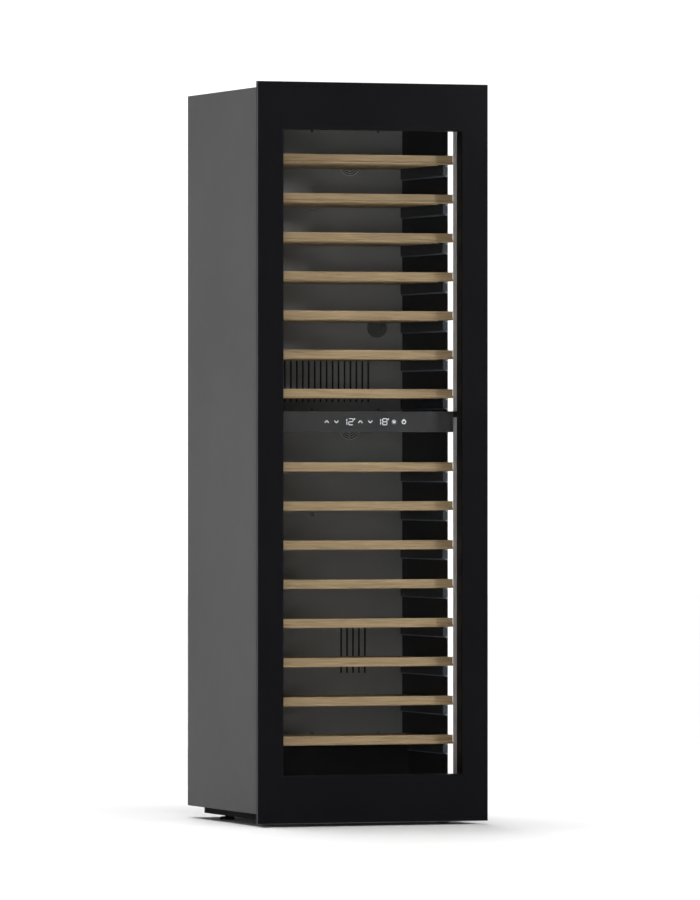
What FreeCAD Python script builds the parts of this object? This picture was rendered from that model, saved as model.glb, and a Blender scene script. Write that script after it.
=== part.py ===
import FreeCAD, Part

import os
import re

import Sketcher

# Tall two-zone wine cooler with a handle-less glass door and pull-out wooden shelves.
# Frame: +Z up, the door faces -Y, X to the right, origin on the floor under the box's centre.
# Heights called *_above are measured from the door's lower edge, depths from the door's front.
# Only upper_shelf_above is measured from the control unit's top, so the upper shelves stay clear of it.

doc = FreeCAD.newDocument("WineCooler")

SIZES = {
    # door panel and cabinet outline
    "door_width": 595.0, "door_height": 1798.0, "overall_depth": 588.0, "floor_gap": 8.0,
    "side_overhang": 19.0, "top_overhang": 12.0, "bottom_overhang": 22.0, "body_depth_start": 52.0,
    "casing_sheet": 1.5, "front_frame_depth": 4.0, "plinth_rear_gap": 115.0, "plinth_height": 14.0,
    "plinth_inset": 5.0, "plinth_sheet": 2.0,
    # door
    "window_side_margin": 66.5, "window_top_margin": 115.0, "window_bottom_margin": 115.0,
    "outer_glass": 5.0, "edge_depth": 10.0, "edge_lip": 0.8, "frame_depth": 34.0,
    "frame_side_inset": 14.5, "frame_end_gap": 1.5, "spacer_width": 6.0, "inner_glass": 4.0,
    "rebate_width": 8.0, "rebate_depth": 6.0, "pane_clearance": 0.3, "seal_clearance": 0.3,
    "gasket_lap": 7.0, "gasket_width": 22.0,
    # hinge
    "hinge_inset": 25.5, "hinge_depth": 18.0, "hinge_pin_radius": 4.0, "hinge_pin_length": 20.0,
    "hinge_clearance": 0.05, "hinge_bore_spare": 2.0, "bracket_sheet": 3.0, "bracket_width": 36.0,
    "bracket_foot": 45.0, "bracket_nose": 7.2, "bracket_relief": 2.5,
    # cavity
    "cavity_width": 478.0, "cavity_floor_above": 90.0, "cavity_top_above": 1712.0, "liner_wall": 2.0,
    "liner_back_depth": 505.0, "duct_face_depth": 449.0, "duct_sheet": 3.0, "step_depth": 398.0,
    "step_top_above": 188.0, "step_foam": 20.0,
    # shelves
    "shelf_width": 468.0, "shelf_front_depth": 72.0, "shelf_back_depth": 430.0, "shelf_pitch": 95.3,
    "upper_shelf_above": 626.6, "lower_shelf_above": 875.6, "rail_height": 22.0, "rail_depth": 20.0,
    "lip_height": 6.7, "lip_proud": 2.5, "side_rail_width": 16.0, "side_rail_inset": 4.0,
    "side_rail_height": 14.0, "side_rail_drop": 6.0, "slat_width": 30.0, "slat_height": 9.0,
    "slat_drop": 14.0, "slat_first_depth": 122.0, "slat_pitch": 52.0, "back_rail_depth": 14.0,
    "bottle_pitch": 75.5, "cradle_radius": 39.0, "cradle_depth": 6.0, "short_shelf_depth": 388.0,
    "rack_top_above": 110.0, "rack_gap": 3.0,
    # runners
    "runner_depth_start": 115.0, "runner_back_depth": 436.0, "runner_width": 8.0, "runner_height": 27.0,
    "runner_gap": 0.5, "groove_depth": 5.0, "groove_edge": 3.0, "slide_clearance": 0.3,
    "slide_web": 6.3, "slide_setback": 2.0, "slide_back_gap": 10.0,
    # lighting
    "led_depth_start": 80.5, "led_width": 34.0, "led_thick": 3.0, "profile_depth_start": 58.0,
    "profile_thick": 2.4, "led_end_gap": 1.0,
    # control unit and divider
    "control_bottom_above": 949.3, "control_height": 50.3, "control_depth": 18.0, "touch_glass": 2.0,
    "control_wall": 2.0, "divider_height": 13.0,
    # air system
    "fan_offset": 100.0, "upper_fan_above": 1615.0, "lower_fan_above": 959.0, "fan_radius": 24.0,
    "fan_hub_radius": 8.0, "fan_depth": 12.0, "fan_blade_thick": 1.6,
    "fan_blade_rise": 0.6, "fan_air_gap": 4.0,
    "shaft_radius": 2.0, "shaft_clearance": 0.05, "shaft_length": 8.0, "spin_gap": 0.3,
    "motor_radius": 10.0, "motor_length": 14.0, "motor_arm": 34.0, "motor_bar": 6.0,
    "ring_pitch": 5.5, "ring_slot": 3.0, "ring_spoke": 3.0, "side_slot_length": 22.0,
    "side_slot_width": 3.0, "side_slot_pitch": 7.0, "side_slot_start": 30.0, "slot_width": 5.0,
    "slot_pitch": 15.7, "upper_slots_above": 1025.0, "upper_slots_height": 130.0,
    "lower_slots_above": 351.0, "lower_slots_height": 125.0, "lower_slots_offset": 109.0,
    "coil_width": 380.0, "coil_depth": 26.0, "coil_height": 160.0, "upper_coil_above": 1250.0,
    "lower_coil_above": 560.0, "coil_fin": 1.0, "coil_tube_radius": 4.0,
    "sensor_radius": 4.0, "sensor_length": 26.0, "upper_sensor_above": 1500.0,
    "lower_sensor_above": 745.0, "filter_radius": 24.0, "filter_length": 12.0, "filter_above": 1210.0,
    "filter_x": 170.0,
    "screw_radius": 3.5, "screw_head": 1.6, "screw_spread": 175.0, "screw_end_gap": 14.0,
    # machine compartment
    "compressor_radius": 66.0, "compressor_height": 112.0, "compressor_x": -150.0,
    "compressor_y": 205.0, "compressor_shell": 3.0, "compressor_fillet": 16.0, "rubber_foot": 9.0,
    "rubber_radius": 7.0, "rubber_spread": 30.0, "condenser_x": 110.0, "condenser_width": 190.0,
    "condenser_depth": 44.0, "condenser_height": 112.0, "condenser_y": 155.0,
    "condenser_fan_radius": 46.0, "condenser_fan_depth": 18.0, "condenser_fan_hub": 15.0,
    "tray_width": 150.0, "tray_length": 120.0, "tray_height": 8.0, "tray_wall": 1.5,
    "box_width": 58.0, "box_depth": 70.0, "box_height": 90.0, "box_x": 232.0, "inlet_width": 28.0,
    "inlet_height": 20.0, "inlet_depth": 20.0, "inlet_wall": 3.0, "inlet_pin": 2.0,
    "inlet_pin_length": 12.0, "inlet_clearance": 0.5, "inlet_above": 40.0, "vent_width": 6.0,
    "vent_pitch": 14.0, "vent_height": 90.0, "vent_above": 25.0, "vent_first": 12.0,
    # feet
    "foot_radius": 19.0, "foot_pad": 8.0, "foot_stem_radius": 5.0, "foot_x": 225.0,
    "foot_front_depth": 125.0, "foot_rear_depth": 440.0, "boss_radius": 10.0, "boss_height": 16.0,
    "foot_clearance": 0.05, "foot_top_gap": 0.3,
    # how far a cutting shape passes through the sheet that it cuts
    "overcut": 1.0,
}

# Planes and levels worked out from the sizes, each used by several pieces.
PLACES = {
    "front_y": "-overall_depth / 2",
    "back_y": "overall_depth / 2",
    "door_low": "floor_gap",
    "body_low": "floor_gap + bottom_overhang",
    "body_high": "floor_gap + door_height - top_overhang",
    "body_half": "door_width / 2 - side_overhang",
    "body_y": "-overall_depth / 2 + body_depth_start",
    "frame_y": "-overall_depth / 2 + edge_depth",
    "frame_back_y": "-overall_depth / 2 + edge_depth + frame_depth",
    "casing_y": "-overall_depth / 2 + body_depth_start + front_frame_depth",
    "panel_back_y": "overall_depth / 2 - casing_sheet",
    "half_cavity": "cavity_width / 2",
    "floor_z": "floor_gap + cavity_floor_above",
    "roof_z": "floor_gap + cavity_top_above",
    "liner_back_y": "-overall_depth / 2 + liner_back_depth",
    "duct_y": "-overall_depth / 2 + duct_face_depth",
    "duct_back_y": "-overall_depth / 2 + duct_face_depth + duct_sheet",
    "step_y": "-overall_depth / 2 + step_depth",
    "step_z": "floor_gap + step_top_above",
    "bay_y": "-overall_depth / 2 + step_depth + liner_wall + step_foam",
    "bay_z": "floor_gap + step_top_above - liner_wall - step_foam",
    "base_top": "floor_gap + bottom_overhang + casing_sheet",
    "half_shelf": "shelf_width / 2",
    "shelf_y": "-overall_depth / 2 + shelf_front_depth",
    "control_z": "floor_gap + control_bottom_above",
    "control_top": "floor_gap + control_bottom_above + control_height",
    "half_window": "door_width / 2 - window_side_margin",
    "window_low": "floor_gap + window_bottom_margin",
    "window_high": "floor_gap + door_height - window_top_margin",
    "half_opening": "door_width / 2 - window_side_margin + spacer_width",
    "pane_y": "-overall_depth / 2 + edge_depth + frame_depth - rebate_depth",
    "half_slat": "shelf_width / 2 - side_rail_inset - side_rail_width",
    "runner_x": "cavity_width / 2 - runner_width",
    "slide_z": "-rail_height - runner_gap - runner_height + groove_edge + slide_clearance",
    "divider_y": "-overall_depth / 2 + shelf_front_depth + control_depth",
    "divider_z": "floor_gap + control_bottom_above + control_height - divider_height",
    "hinge_x": "door_width / 2 - hinge_inset",
    "hinge_y": "-overall_depth / 2 + hinge_depth",
    "frame_low": "floor_gap + bottom_overhang + frame_end_gap",
    "frame_high": "floor_gap + door_height - top_overhang - frame_end_gap",
    "fan_y": "-overall_depth / 2 + duct_face_depth + duct_sheet + fan_air_gap",
    "motor_y": "-overall_depth / 2 + duct_face_depth + duct_sheet + fan_air_gap + fan_depth",
}

UPPER_SHELVES = 7
LOWER_SHELVES = 8
SLATS = 6
BOTTLES_ACROSS = 6
FAN_BLADES = 7
UPPER_SLOTS = 20
LOWER_SLOTS = 5
GRILLE_RINGS = 4
SIDE_SLOTS = 4
COIL_FINS = 19
COIL_TUBES = 5
VENTS_EACH_SIDE = 15
SLOT_LEAN = 20.0  # degrees from upright


def fill_sheet(name, rows, as_formula):
    """Write one row for each value, with the value's name as its alias."""
    sheet = doc.addObject("Spreadsheet::Sheet", name)
    for row, (alias, value) in enumerate(rows.items(), start=1):
        sheet.set("A%d" % row, alias)
        sheet.set("B%d" % row, "=" + formula(value) if as_formula else str(value))
        sheet.setAlias("B%d" % row, alias)
    return sheet


def formula(text):
    """Put the right sheet's name before every alias in an expression."""
    def with_sheet(found):
        word = found.group(0)
        if word in SIZES:
            return "Sizes." + word
        return "Places." + word if word in PLACES else word
    return re.sub(r"[a-z_]+", with_sheet, str(text))


sizes = fill_sheet("Sizes", SIZES, as_formula=False)
doc.recompute()
places = fill_sheet("Places", PLACES, as_formula=True)
doc.recompute()

nodes = []


def bind(item, **expressions):
    """Bind properties of an object to expressions over the sheets."""
    for name, text in expressions.items():
        item.setExpression(name, formula(text))


def place(item, x="0", y="0", z="0"):
    """Bind the position of an object."""
    for axis, text in zip("xyz", (x, y, z)):
        item.setExpression("Placement.Base." + axis, formula(text))


def finish(name, item):
    """Make an object a sub-part: its Label is the name of its file."""
    item.Label = name
    nodes.append(item)
    return item


def block(x, y, z, name="Block"):
    """A box given by its low and high expression along each axis."""
    item = doc.addObject("Part::Box", name)
    spans = (("Length", x), ("Width", y), ("Height", z))
    for size, (low, high) in spans:
        item.setExpression(size, formula("(%s) - (%s)" % (high, low)))
    place(item, x[0], y[0], z[0])
    return item


def rod(radius, length, x, y, z, along="z", name="Rod"):
    """A cylinder that starts at a point and runs along one axis."""
    item = doc.addObject("Part::Cylinder", name)
    bind(item, Radius=radius, Height=length)
    turns = {"z": (0, 0, 1, 0), "y": (1, 0, 0, -90), "x": (0, 1, 0, 90)}
    turn = turns[along]
    item.Placement.Rotation = FreeCAD.Rotation(FreeCAD.Vector(*turn[:3]), turn[3])
    place(item, x, y, z)
    return item


def cut(base, tools, name="Cut"):
    """A base with tools taken away."""
    item = doc.addObject("Part::Cut", name)
    item.Base = base
    item.Tool = tools[0] if len(tools) == 1 else group(tools)
    return item


def fuse(parts, name="Fuse"):
    """Several overlapping shapes as one solid."""
    item = doc.addObject("Part::MultiFuse", name)
    item.Shapes = parts
    return item


def group(parts, name="Group"):
    """Several separate solids kept together."""
    item = doc.addObject("Part::Compound", name)
    item.Links = parts
    return item


def new_body(name, x="0", y="0", z="0"):
    """A PartDesign body at a bound position."""
    body = doc.addObject("PartDesign::Body", name)
    place(body, x, y, z)
    return body


def sketch_on(body, plane, offset=None):
    """A sketch on one of the body's own origin planes, lifted by a bound offset."""
    sketch = body.newObject("Sketcher::SketchObject", "Sketch")
    face = [f for f in body.Origin.OriginFeatures if f.Role == plane][0]
    sketch.AttachmentSupport = [(face, "")]
    sketch.MapMode = "FlatFace"
    if offset:
        sketch.setExpression("AttachmentOffset.Base.z", formula(offset))
    return sketch


def rectangle(sketch, left, low, width, height):
    """A rectangle with its corner and its two sides bound to expressions."""
    first = sketch.GeometryCount
    corners = [(1, 1), (3, 1), (3, 2), (1, 2)]
    points = [FreeCAD.Vector(x, y, 0) for x, y in corners]
    for n in range(4):
        sketch.addGeometry(Part.LineSegment(points[n], points[(n + 1) % 4]), False)
    add = sketch.addConstraint
    for n in range(4):
        add(Sketcher.Constraint("Coincident", first + n, 2, first + (n + 1) % 4, 1))
    for n, way in enumerate(("Horizontal", "Vertical", "Horizontal", "Vertical")):
        add(Sketcher.Constraint(way, first + n))
    measures = [
        ("DistanceX", (-1, 1, first, 1), left), ("DistanceY", (-1, 1, first, 1), low),
        ("DistanceX", (first, 1, first, 2), width), ("DistanceY", (first + 1, 1, first + 1, 2), height),
    ]
    for way, ends, text in measures:
        number = add(Sketcher.Constraint(way, *ends, 1.0))
        sketch.setExpression("Constraints[%d]" % number, formula(text))


def pad(body, sketch, length, reverse=False):
    """Extrude a sketch."""
    item = body.newObject("PartDesign::Pad", "Pad")
    item.Profile = sketch
    item.setExpression("Length", formula(length))
    item.Reversed = reverse
    sketch.Visibility = False
    body.Tip = item
    return item


def ring(name, outer, inner, depth, x="0", y="0", z="0"):
    """A flat rectangular ring standing in the XZ plane, which grows towards -Y from y."""
    body = new_body(name, x, y, z)
    sketch = sketch_on(body, "XZ_Plane")
    rectangle(sketch, "0", "0", *outer)
    rectangle(sketch, *inner)
    pad(body, sketch, depth)
    return body


def both_sides(make):
    """Make a piece on the left and on the right."""
    return [make(-1), make(1)]


def side_block(side, near, far, y, z, name="Block"):
    """A box between two distances from the middle plane, on the side given by its sign."""
    x = (near, far) if side > 0 else ("-(%s)" % far, "-(%s)" % near)
    return block(x, y, z, name)


# ---------------------------------------------------------------- casing
def build_casing():
    """Outer sheets, front frame, base tray and plinth strips."""
    tall = ("body_low", "body_high")
    depth = ("casing_y", "panel_back_y")
    for side, label in ((-1, "casing_left"), (1, "casing_right")):
        finish(label, side_block(side, "body_half - casing_sheet", "body_half", depth, tall))
    between = ("-body_half + casing_sheet", "body_half - casing_sheet")
    finish("casing_top", block(between, depth, ("body_high - casing_sheet", "body_high")))
    across = ("-body_half", "body_half")
    finish("casing_back", block(across, ("panel_back_y", "back_y"), ("bay_z", "body_high")))

    frame = ring("FrontFrame", ("2 * body_half", "body_high - body_low"),
                 ("body_half - half_cavity", "floor_z - body_low", "cavity_width", "roof_z - floor_z"),
                 "front_frame_depth", "-body_half", "casing_y", "body_low")
    finish("front_frame", frame)

    tray = block(between, depth, ("body_low", "base_top"))
    bosses = []
    for x, y in foot_places():
        outer = rod("boss_radius", "boss_height", x, y, "body_low - boss_height")
        bore = rod("foot_stem_radius + foot_clearance", "boss_height", x, y, "body_low - boss_height")
        bosses.append(cut(outer, [bore]))
    finish("base_tray", fuse([tray] + bosses))

    strip_z = ("body_low - plinth_height", "body_low")
    front = "body_y + bracket_foot + plinth_sheet"
    rear = "back_y - plinth_rear_gap"
    outside = "body_half - plinth_inset"
    strips = both_sides(lambda side: side_block(side, outside + " - plinth_sheet", outside,
                                                (front, rear), strip_z))
    strips.append(block(("-(%s)" % outside, outside), (front, front + " + plinth_sheet"), strip_z))
    finish("plinth_channel", fuse(strips))


def foot_places():
    """The four feet, as x and y expressions."""
    depths = ("foot_front_depth", "foot_rear_depth")
    return [(sign + "foot_x", "front_y + " + depth) for depth in depths for sign in ("-", "")]


def build_cover():
    """Vented sheet over the machine compartment, with the mains inlet's cut-out."""
    cover = new_body("RearCover", "-body_half", "back_y", "body_low")
    sketch = sketch_on(cover, "XZ_Plane")
    rectangle(sketch, "0", "0", "2 * body_half", "bay_z - body_low")
    pad(cover, sketch, "casing_sheet")
    vents = []
    for number in range(2 * VENTS_EACH_SIDE):
        low = "-body_half + vent_first + vent_pitch * %d" % number
        vents.append(block((low, low + " + vent_width"), ("panel_back_y - overcut", "back_y + overcut"),
                           ("body_low + vent_above", "body_low + vent_above + vent_height")))
    gap = "inlet_clearance"
    hole = block(("box_x - inlet_width / 2 - " + gap, "box_x + inlet_width / 2 + " + gap),
                 ("panel_back_y - overcut", "back_y + overcut"),
                 ("base_top + inlet_above - " + gap, "base_top + inlet_above + inlet_height + " + gap))
    finish("compressor_cover", cut(cover, vents + [hole]))


def build_liner():
    """Flat walls of the cavity, with a step at the rear over the machine compartment."""
    outer = ("-half_cavity - liner_wall", "half_cavity + liner_wall")
    inner = ("-half_cavity", "half_cavity")
    back = "liner_back_y + liner_wall"
    side = ("half_cavity", "half_cavity + liner_wall")
    walls = []
    for sign in (-1, 1):
        walls.append(side_block(sign, *side, ("casing_y", "step_y"), ("floor_z", "roof_z")))
        walls.append(side_block(sign, *side, ("step_y", back), ("step_z - liner_wall", "roof_z")))
    walls.append(block(outer, ("casing_y", back), ("roof_z", "roof_z + liner_wall")))
    walls.append(block(outer, ("casing_y", "step_y + liner_wall"), ("floor_z - liner_wall", "floor_z")))
    walls.append(block(inner, ("step_y", "step_y + liner_wall"), ("floor_z", "step_z")))
    walls.append(block(inner, ("step_y + liner_wall", "liner_back_y"), ("step_z - liner_wall", "step_z")))
    walls.append(block(inner, ("liner_back_y", back), ("step_z - liner_wall", "roof_z")))
    finish("liner", group(walls))


def build_insulation():
    """Foam between the casing and the liner, as one slab for each wall."""
    inner = ("-half_cavity - liner_wall", "half_cavity + liner_wall")
    side = ("half_cavity + liner_wall", "body_half - casing_sheet")
    top = "body_high - casing_sheet"
    foam = []
    for sign in (-1, 1):
        foam.append(side_block(sign, *side, ("casing_y", "bay_y"), ("base_top", top)))
        foam.append(side_block(sign, *side, ("bay_y", "panel_back_y"), ("bay_z", top)))
    foam.append(block(inner, ("casing_y", "panel_back_y"), ("roof_z + liner_wall", top)))
    foam.append(block(inner, ("liner_back_y + liner_wall", "panel_back_y"),
                      ("bay_z", "roof_z + liner_wall")))
    foam.append(block(inner, ("casing_y", "step_y + liner_wall"), ("base_top", "floor_z - liner_wall")))
    foam.append(block(inner, ("step_y + liner_wall", "bay_y"), ("base_top", "step_z - liner_wall")))
    foam.append(block(inner, ("bay_y", "liner_back_y + liner_wall"), ("bay_z", "step_z - liner_wall")))
    finish("insulation", group(foam))


# ---------------------------------------------------------------- door
def build_door():
    """Glass, edge trim, inner frame, spacer, inner pane and gasket."""
    glass = new_body("DoorGlass", "-door_width / 2 + edge_lip", "front_y", "door_low + edge_lip")
    sketch = sketch_on(glass, "XZ_Plane")
    rectangle(sketch, "0", "0", "door_width - 2 * edge_lip", "door_height - 2 * edge_lip")
    pad(glass, sketch, "outer_glass", reverse=True)
    finish("door_glass", glass)

    trim = new_body("EdgeTrim", "-door_width / 2", "frame_y", "door_low")
    sketch = sketch_on(trim, "XZ_Plane")
    rectangle(sketch, "0", "0", "door_width", "door_height")
    rectangle(sketch, "window_side_margin - spacer_width", "window_bottom_margin - spacer_width",
              "2 * half_opening", "window_high - window_low + 2 * spacer_width")
    pad(trim, sketch, "edge_depth")
    sketch = sketch_on(trim, "XZ_Plane", "edge_depth")
    rectangle(sketch, "edge_lip", "edge_lip", "door_width - 2 * edge_lip",
              "door_height - 2 * edge_lip")
    pocket(trim, sketch, "outer_glass")
    finish("door_edge_trim", trim)

    half_frame = "door_width / 2 - frame_side_inset"
    frame = ring("DoorFrame", ("2 * (%s)" % half_frame, "frame_high - frame_low"),
                 (half_frame + " - half_opening", "window_low - spacer_width - frame_low",
                  "2 * half_opening", "window_high - window_low + 2 * spacer_width"),
                 "frame_depth", "-(%s)" % half_frame, "frame_back_y", "frame_low")
    sketch = sketch_on(frame, "XZ_Plane")
    rectangle(sketch, half_frame + " - half_opening - rebate_width",
              "window_low - spacer_width - rebate_width - frame_low",
              "2 * (half_opening + rebate_width)",
              "window_high - window_low + 2 * (spacer_width + rebate_width)")
    pocket(frame, sketch, "rebate_depth")
    bores = []
    for start in ("frame_low", "frame_high - hinge_pin_length - hinge_bore_spare"):
        bores.append(rod("hinge_pin_radius + hinge_clearance", "hinge_pin_length + hinge_bore_spare",
                         "hinge_x", "hinge_y", start))
    finish("door_frame", cut(frame, bores))

    spacer = ring("Spacer", ("2 * half_opening", "window_high - window_low + 2 * spacer_width"),
                  ("spacer_width", "spacer_width", "2 * half_window", "window_high - window_low"),
                  "pane_y - front_y - outer_glass", "-half_opening", "pane_y",
                  "window_low - spacer_width")
    finish("glass_spacer", spacer)

    half_pane = "half_opening + rebate_width - pane_clearance"
    over = "spacer_width + rebate_width - pane_clearance"
    finish("door_inner_pane", block(("-(%s)" % half_pane, half_pane), ("pane_y", "pane_y + inner_glass"),
                                    ("window_low - (%s)" % over, "window_high + " + over)))

    inside = "half_cavity + gasket_lap"
    gasket = ring("Gasket", ("2 * (%s + gasket_width)" % inside,
                             "roof_z - floor_z + 2 * (gasket_lap + gasket_width)"),
                  ("gasket_width", "gasket_width", "2 * (%s)" % inside,
                   "roof_z - floor_z + 2 * gasket_lap"),
                  "body_y - seal_clearance - frame_back_y", "-(%s + gasket_width)" % inside,
                  "body_y - seal_clearance", "floor_z - gasket_lap - gasket_width")
    finish("door_gasket", gasket)


def pocket(body, sketch, length):
    """Cut into a body from a sketch and check that material really went."""
    before = volume_after_recompute(body)
    item = body.newObject("PartDesign::Pocket", "Pocket")
    item.Profile = sketch
    item.setExpression("Length", formula(length))
    item.Reversed = sketch.AttachmentOffset.Base.z == 0
    sketch.Visibility = False
    body.Tip = item
    if volume_after_recompute(body) >= before:
        raise RuntimeError(body.Name + ": the pocket cut nothing")
    return item


def volume_after_recompute(body):
    """The body's volume once the document is up to date."""
    doc.recompute()
    return body.Shape.Volume


def build_hinges():
    """A plate over and one under the door frame, each with a pin into the frame's bore."""
    plates = []
    near = "hinge_x - bracket_relief"
    for low, pin_low in (("body_high", "body_high - hinge_pin_length"),
                         ("body_low - bracket_sheet", "body_low")):
        arm = block((near + " - bracket_width", near), ("hinge_y - bracket_nose", "body_y + bracket_foot"),
                    (low, low + " + bracket_sheet"))
        nose = rod("bracket_nose", "bracket_sheet", "hinge_x", "hinge_y", low)
        pin = rod("hinge_pin_radius", "hinge_pin_length", "hinge_x", "hinge_y", pin_low)
        plates.append(fuse([arm, nose, pin]))
    finish("hinge_brackets", group(plates))


# ---------------------------------------------------------------- shelves
def front_rail(width, height, x, y, z):
    """A wooden front with a proud lower lip, whose top slopes back at 45 degrees."""
    body = new_body("FrontRail", x, y, z)
    sketch = sketch_on(body, "YZ_Plane")
    outline = [("0", "0"), ("rail_depth", "0"), ("rail_depth", height), ("lip_proud", height),
               ("lip_proud", "lip_height"), ("0", "lip_height - lip_proud")]
    polygon(sketch, outline)
    pad(body, sketch, width)
    return body


def polygon(sketch, outline):
    """A closed outline of straight edges whose corners are bound to expressions."""
    guess = [FreeCAD.Vector(1.0 + n, 1.0 + n * n, 0) for n in range(len(outline))]
    count = len(outline)
    for n in range(count):
        sketch.addGeometry(Part.LineSegment(guess[n], guess[(n + 1) % count]), False)
    for n in range(count):
        sketch.addConstraint(Sketcher.Constraint("Coincident", n, 2, (n + 1) % count, 1))
    for n, corner in enumerate(outline):
        for way, text in zip(("DistanceX", "DistanceY"), corner):
            number = sketch.addConstraint(Sketcher.Constraint(way, -1, 1, n, 1, 1.0))
            sketch.setExpression("Constraints[%d]" % number, formula(text))


def cradled_slat(half_width, y, low, high):
    """A cross slat with a shallow round cradle for each bottle."""
    bar = block(("-(%s)" % half_width, half_width), (y, "(%s) + slat_width" % y), (low, high))
    rounds = []
    for number in range(BOTTLES_ACROSS):
        x = "bottle_pitch * %s" % (number - (BOTTLES_ACROSS - 1) / 2)
        rounds.append(rod("cradle_radius", "slat_width + 2 * overcut", x, "(%s) - overcut" % y,
                          "(%s) - cradle_depth + cradle_radius" % high, along="y"))
    return cut(bar, rounds)


def shelf_parts(back_depth, slats):
    """The wood and the moving slides of one shelf, whose front rail's top is at z = 0."""
    back = "front_y + " + back_depth
    parts = [front_rail("shelf_width", "rail_height", "-half_shelf", "shelf_y", "-rail_height")]
    rail_back = "shelf_y + rail_depth"
    rail_z = ("-side_rail_drop - side_rail_height", "-side_rail_drop")
    tongue_x = ("runner_x - slide_clearance", "runner_x + groove_depth - slide_clearance")
    slide_y = ("front_y + runner_depth_start + slide_setback", back + " - slide_back_gap")
    for side in (-1, 1):
        parts.append(side_block(side, "half_slat", "half_slat + side_rail_width",
                                (rail_back, back), rail_z))
        web = side_block(side, "half_slat + side_rail_width - slide_web", "runner_x - slide_clearance",
                         slide_y, ("slide_z", rail_z[0]))
        tongue = side_block(side, *tongue_x, slide_y,
                            ("slide_z", "slide_z + runner_height - 2 * (groove_edge + slide_clearance)"))
        parts.append(fuse([web, tongue]))
    for number in range(slats):
        y = "front_y + slat_first_depth + slat_pitch * %d" % number
        parts.append(cradled_slat("half_slat", y, "-slat_drop - slat_height", "-slat_drop"))
    parts.append(block(("-half_slat", "half_slat"), (back + " - back_rail_depth", back), rail_z))
    return parts


def shelf_levels():
    """The height expression of each shelf's top edge, from the top down."""
    upper = ["control_top + upper_shelf_above - shelf_pitch * %d" % n for n in range(UPPER_SHELVES)]
    lower = ["floor_gap + lower_shelf_above - shelf_pitch * %d" % n for n in range(LOWER_SHELVES)]
    return upper + lower


def build_shelves():
    """Fifteen pull-out shelves; the lowest is short, over the step."""
    long_parts = shelf_parts("shelf_back_depth", SLATS)
    short_parts = shelf_parts("short_shelf_depth", SLATS - 1)
    levels = shelf_levels()
    for number, level in enumerate(levels, start=1):
        shelf = group(long_parts if number < len(levels) else short_parts, "Shelf")
        place(shelf, z=level)
        finish("shelf_%02d" % number, shelf)


def build_runners():
    """Grooved rails on the side walls, a pair for each shelf."""
    pairs = {}
    for kind, back in (("long", "runner_back_depth"), ("short", "short_shelf_depth")):
        top = "-rail_height - runner_gap"
        low = top + " - runner_height"
        rails = []
        for side in (-1, 1):
            y = ("front_y + runner_depth_start", "front_y + " + back)
            bar = side_block(side, "runner_x", "half_cavity", y, (low, top))
            groove = side_block(side, "runner_x - overcut", "runner_x + groove_depth",
                                (y[0] + " - overcut", y[1] + " + overcut"),
                                (low + " + groove_edge", top + " - groove_edge"))
            rails.append(cut(bar, [groove]))
        pairs[kind] = rails
    levels = shelf_levels()
    rows = []
    for number, level in enumerate(levels, start=1):
        row = group(pairs["long" if number < len(levels) else "short"], "RunnerPair")
        place(row, z=level)
        rows.append(row)
    finish("shelf_runners", group(rows))


def build_floor_rack():
    """A low wooden rack that rests on the cavity's floor."""
    half = "half_cavity - rack_gap"
    top = "floor_gap + rack_top_above"
    front = front_rail("2 * (%s)" % half, top + " - floor_z", "-(%s)" % half, "shelf_y", "floor_z")
    back = "front_y + short_shelf_depth"
    parts = [front]
    inner = half + " - side_rail_width"
    side_y = ("shelf_y + rail_depth", back)
    parts += both_sides(lambda side: side_block(side, inner, half, side_y,
                                                ("floor_z", "floor_z + slat_height")))
    for number in range(SLATS - 1):
        y = "front_y + slat_first_depth + slat_pitch * %d" % number
        parts.append(cradled_slat(inner, y, "floor_z", "floor_z + slat_height"))
    finish("floor_rack", group(parts))


# ---------------------------------------------------------------- lighting and control unit
def build_lighting():
    """Light strips on both side walls and the metal profiles in front of them."""
    zones = (("floor_z + led_end_gap", "divider_z - led_end_gap"),
             ("control_top + led_end_gap", "roof_z - led_end_gap"))
    led_y = ("front_y + led_depth_start", "front_y + led_depth_start + led_width")
    profile_y = ("front_y + profile_depth_start", "front_y + led_depth_start")
    strips, profiles = [], []
    for zone in zones:
        for side in (-1, 1):
            strips.append(side_block(side, "half_cavity - led_thick", "half_cavity", led_y, zone))
            profiles.append(side_block(side, "half_cavity - profile_thick", "half_cavity",
                                       profile_y, zone))
    finish("light_strips", group(strips))
    finish("light_profiles", group(profiles))


def build_control():
    """Divider between the zones and the control unit on its front edge."""
    finish("zone_divider", block(("-half_cavity", "half_cavity"), ("divider_y", "duct_y"),
                                 ("divider_z", "control_top")))
    housing = new_body("ControlHousing", "-half_shelf", "divider_y", "control_z")
    sketch = sketch_on(housing, "XZ_Plane")
    rectangle(sketch, "0", "0", "shelf_width", "control_height")
    pad(housing, sketch, "control_depth - touch_glass")
    sketch = sketch_on(housing, "XZ_Plane")
    rectangle(sketch, "control_wall", "control_wall", "shelf_width - 2 * control_wall",
              "control_height - 2 * control_wall")
    pocket(housing, sketch, "control_depth - touch_glass - control_wall")
    finish("control_housing", housing)
    finish("control_glass", block(("-half_shelf", "half_shelf"), ("shelf_y", "shelf_y + touch_glass"),
                                  ("control_z", "control_top")))


# ---------------------------------------------------------------- air system
def fan_places():
    """Fan centres as name, x and z expressions."""
    found = []
    for zone in ("upper", "lower"):
        for side, sign in (("left", "-"), ("right", "")):
            found.append(("fan_%s_%s" % (zone, side), sign + "fan_offset",
                          "floor_gap + %s_fan_above" % zone))
    return found


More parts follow.
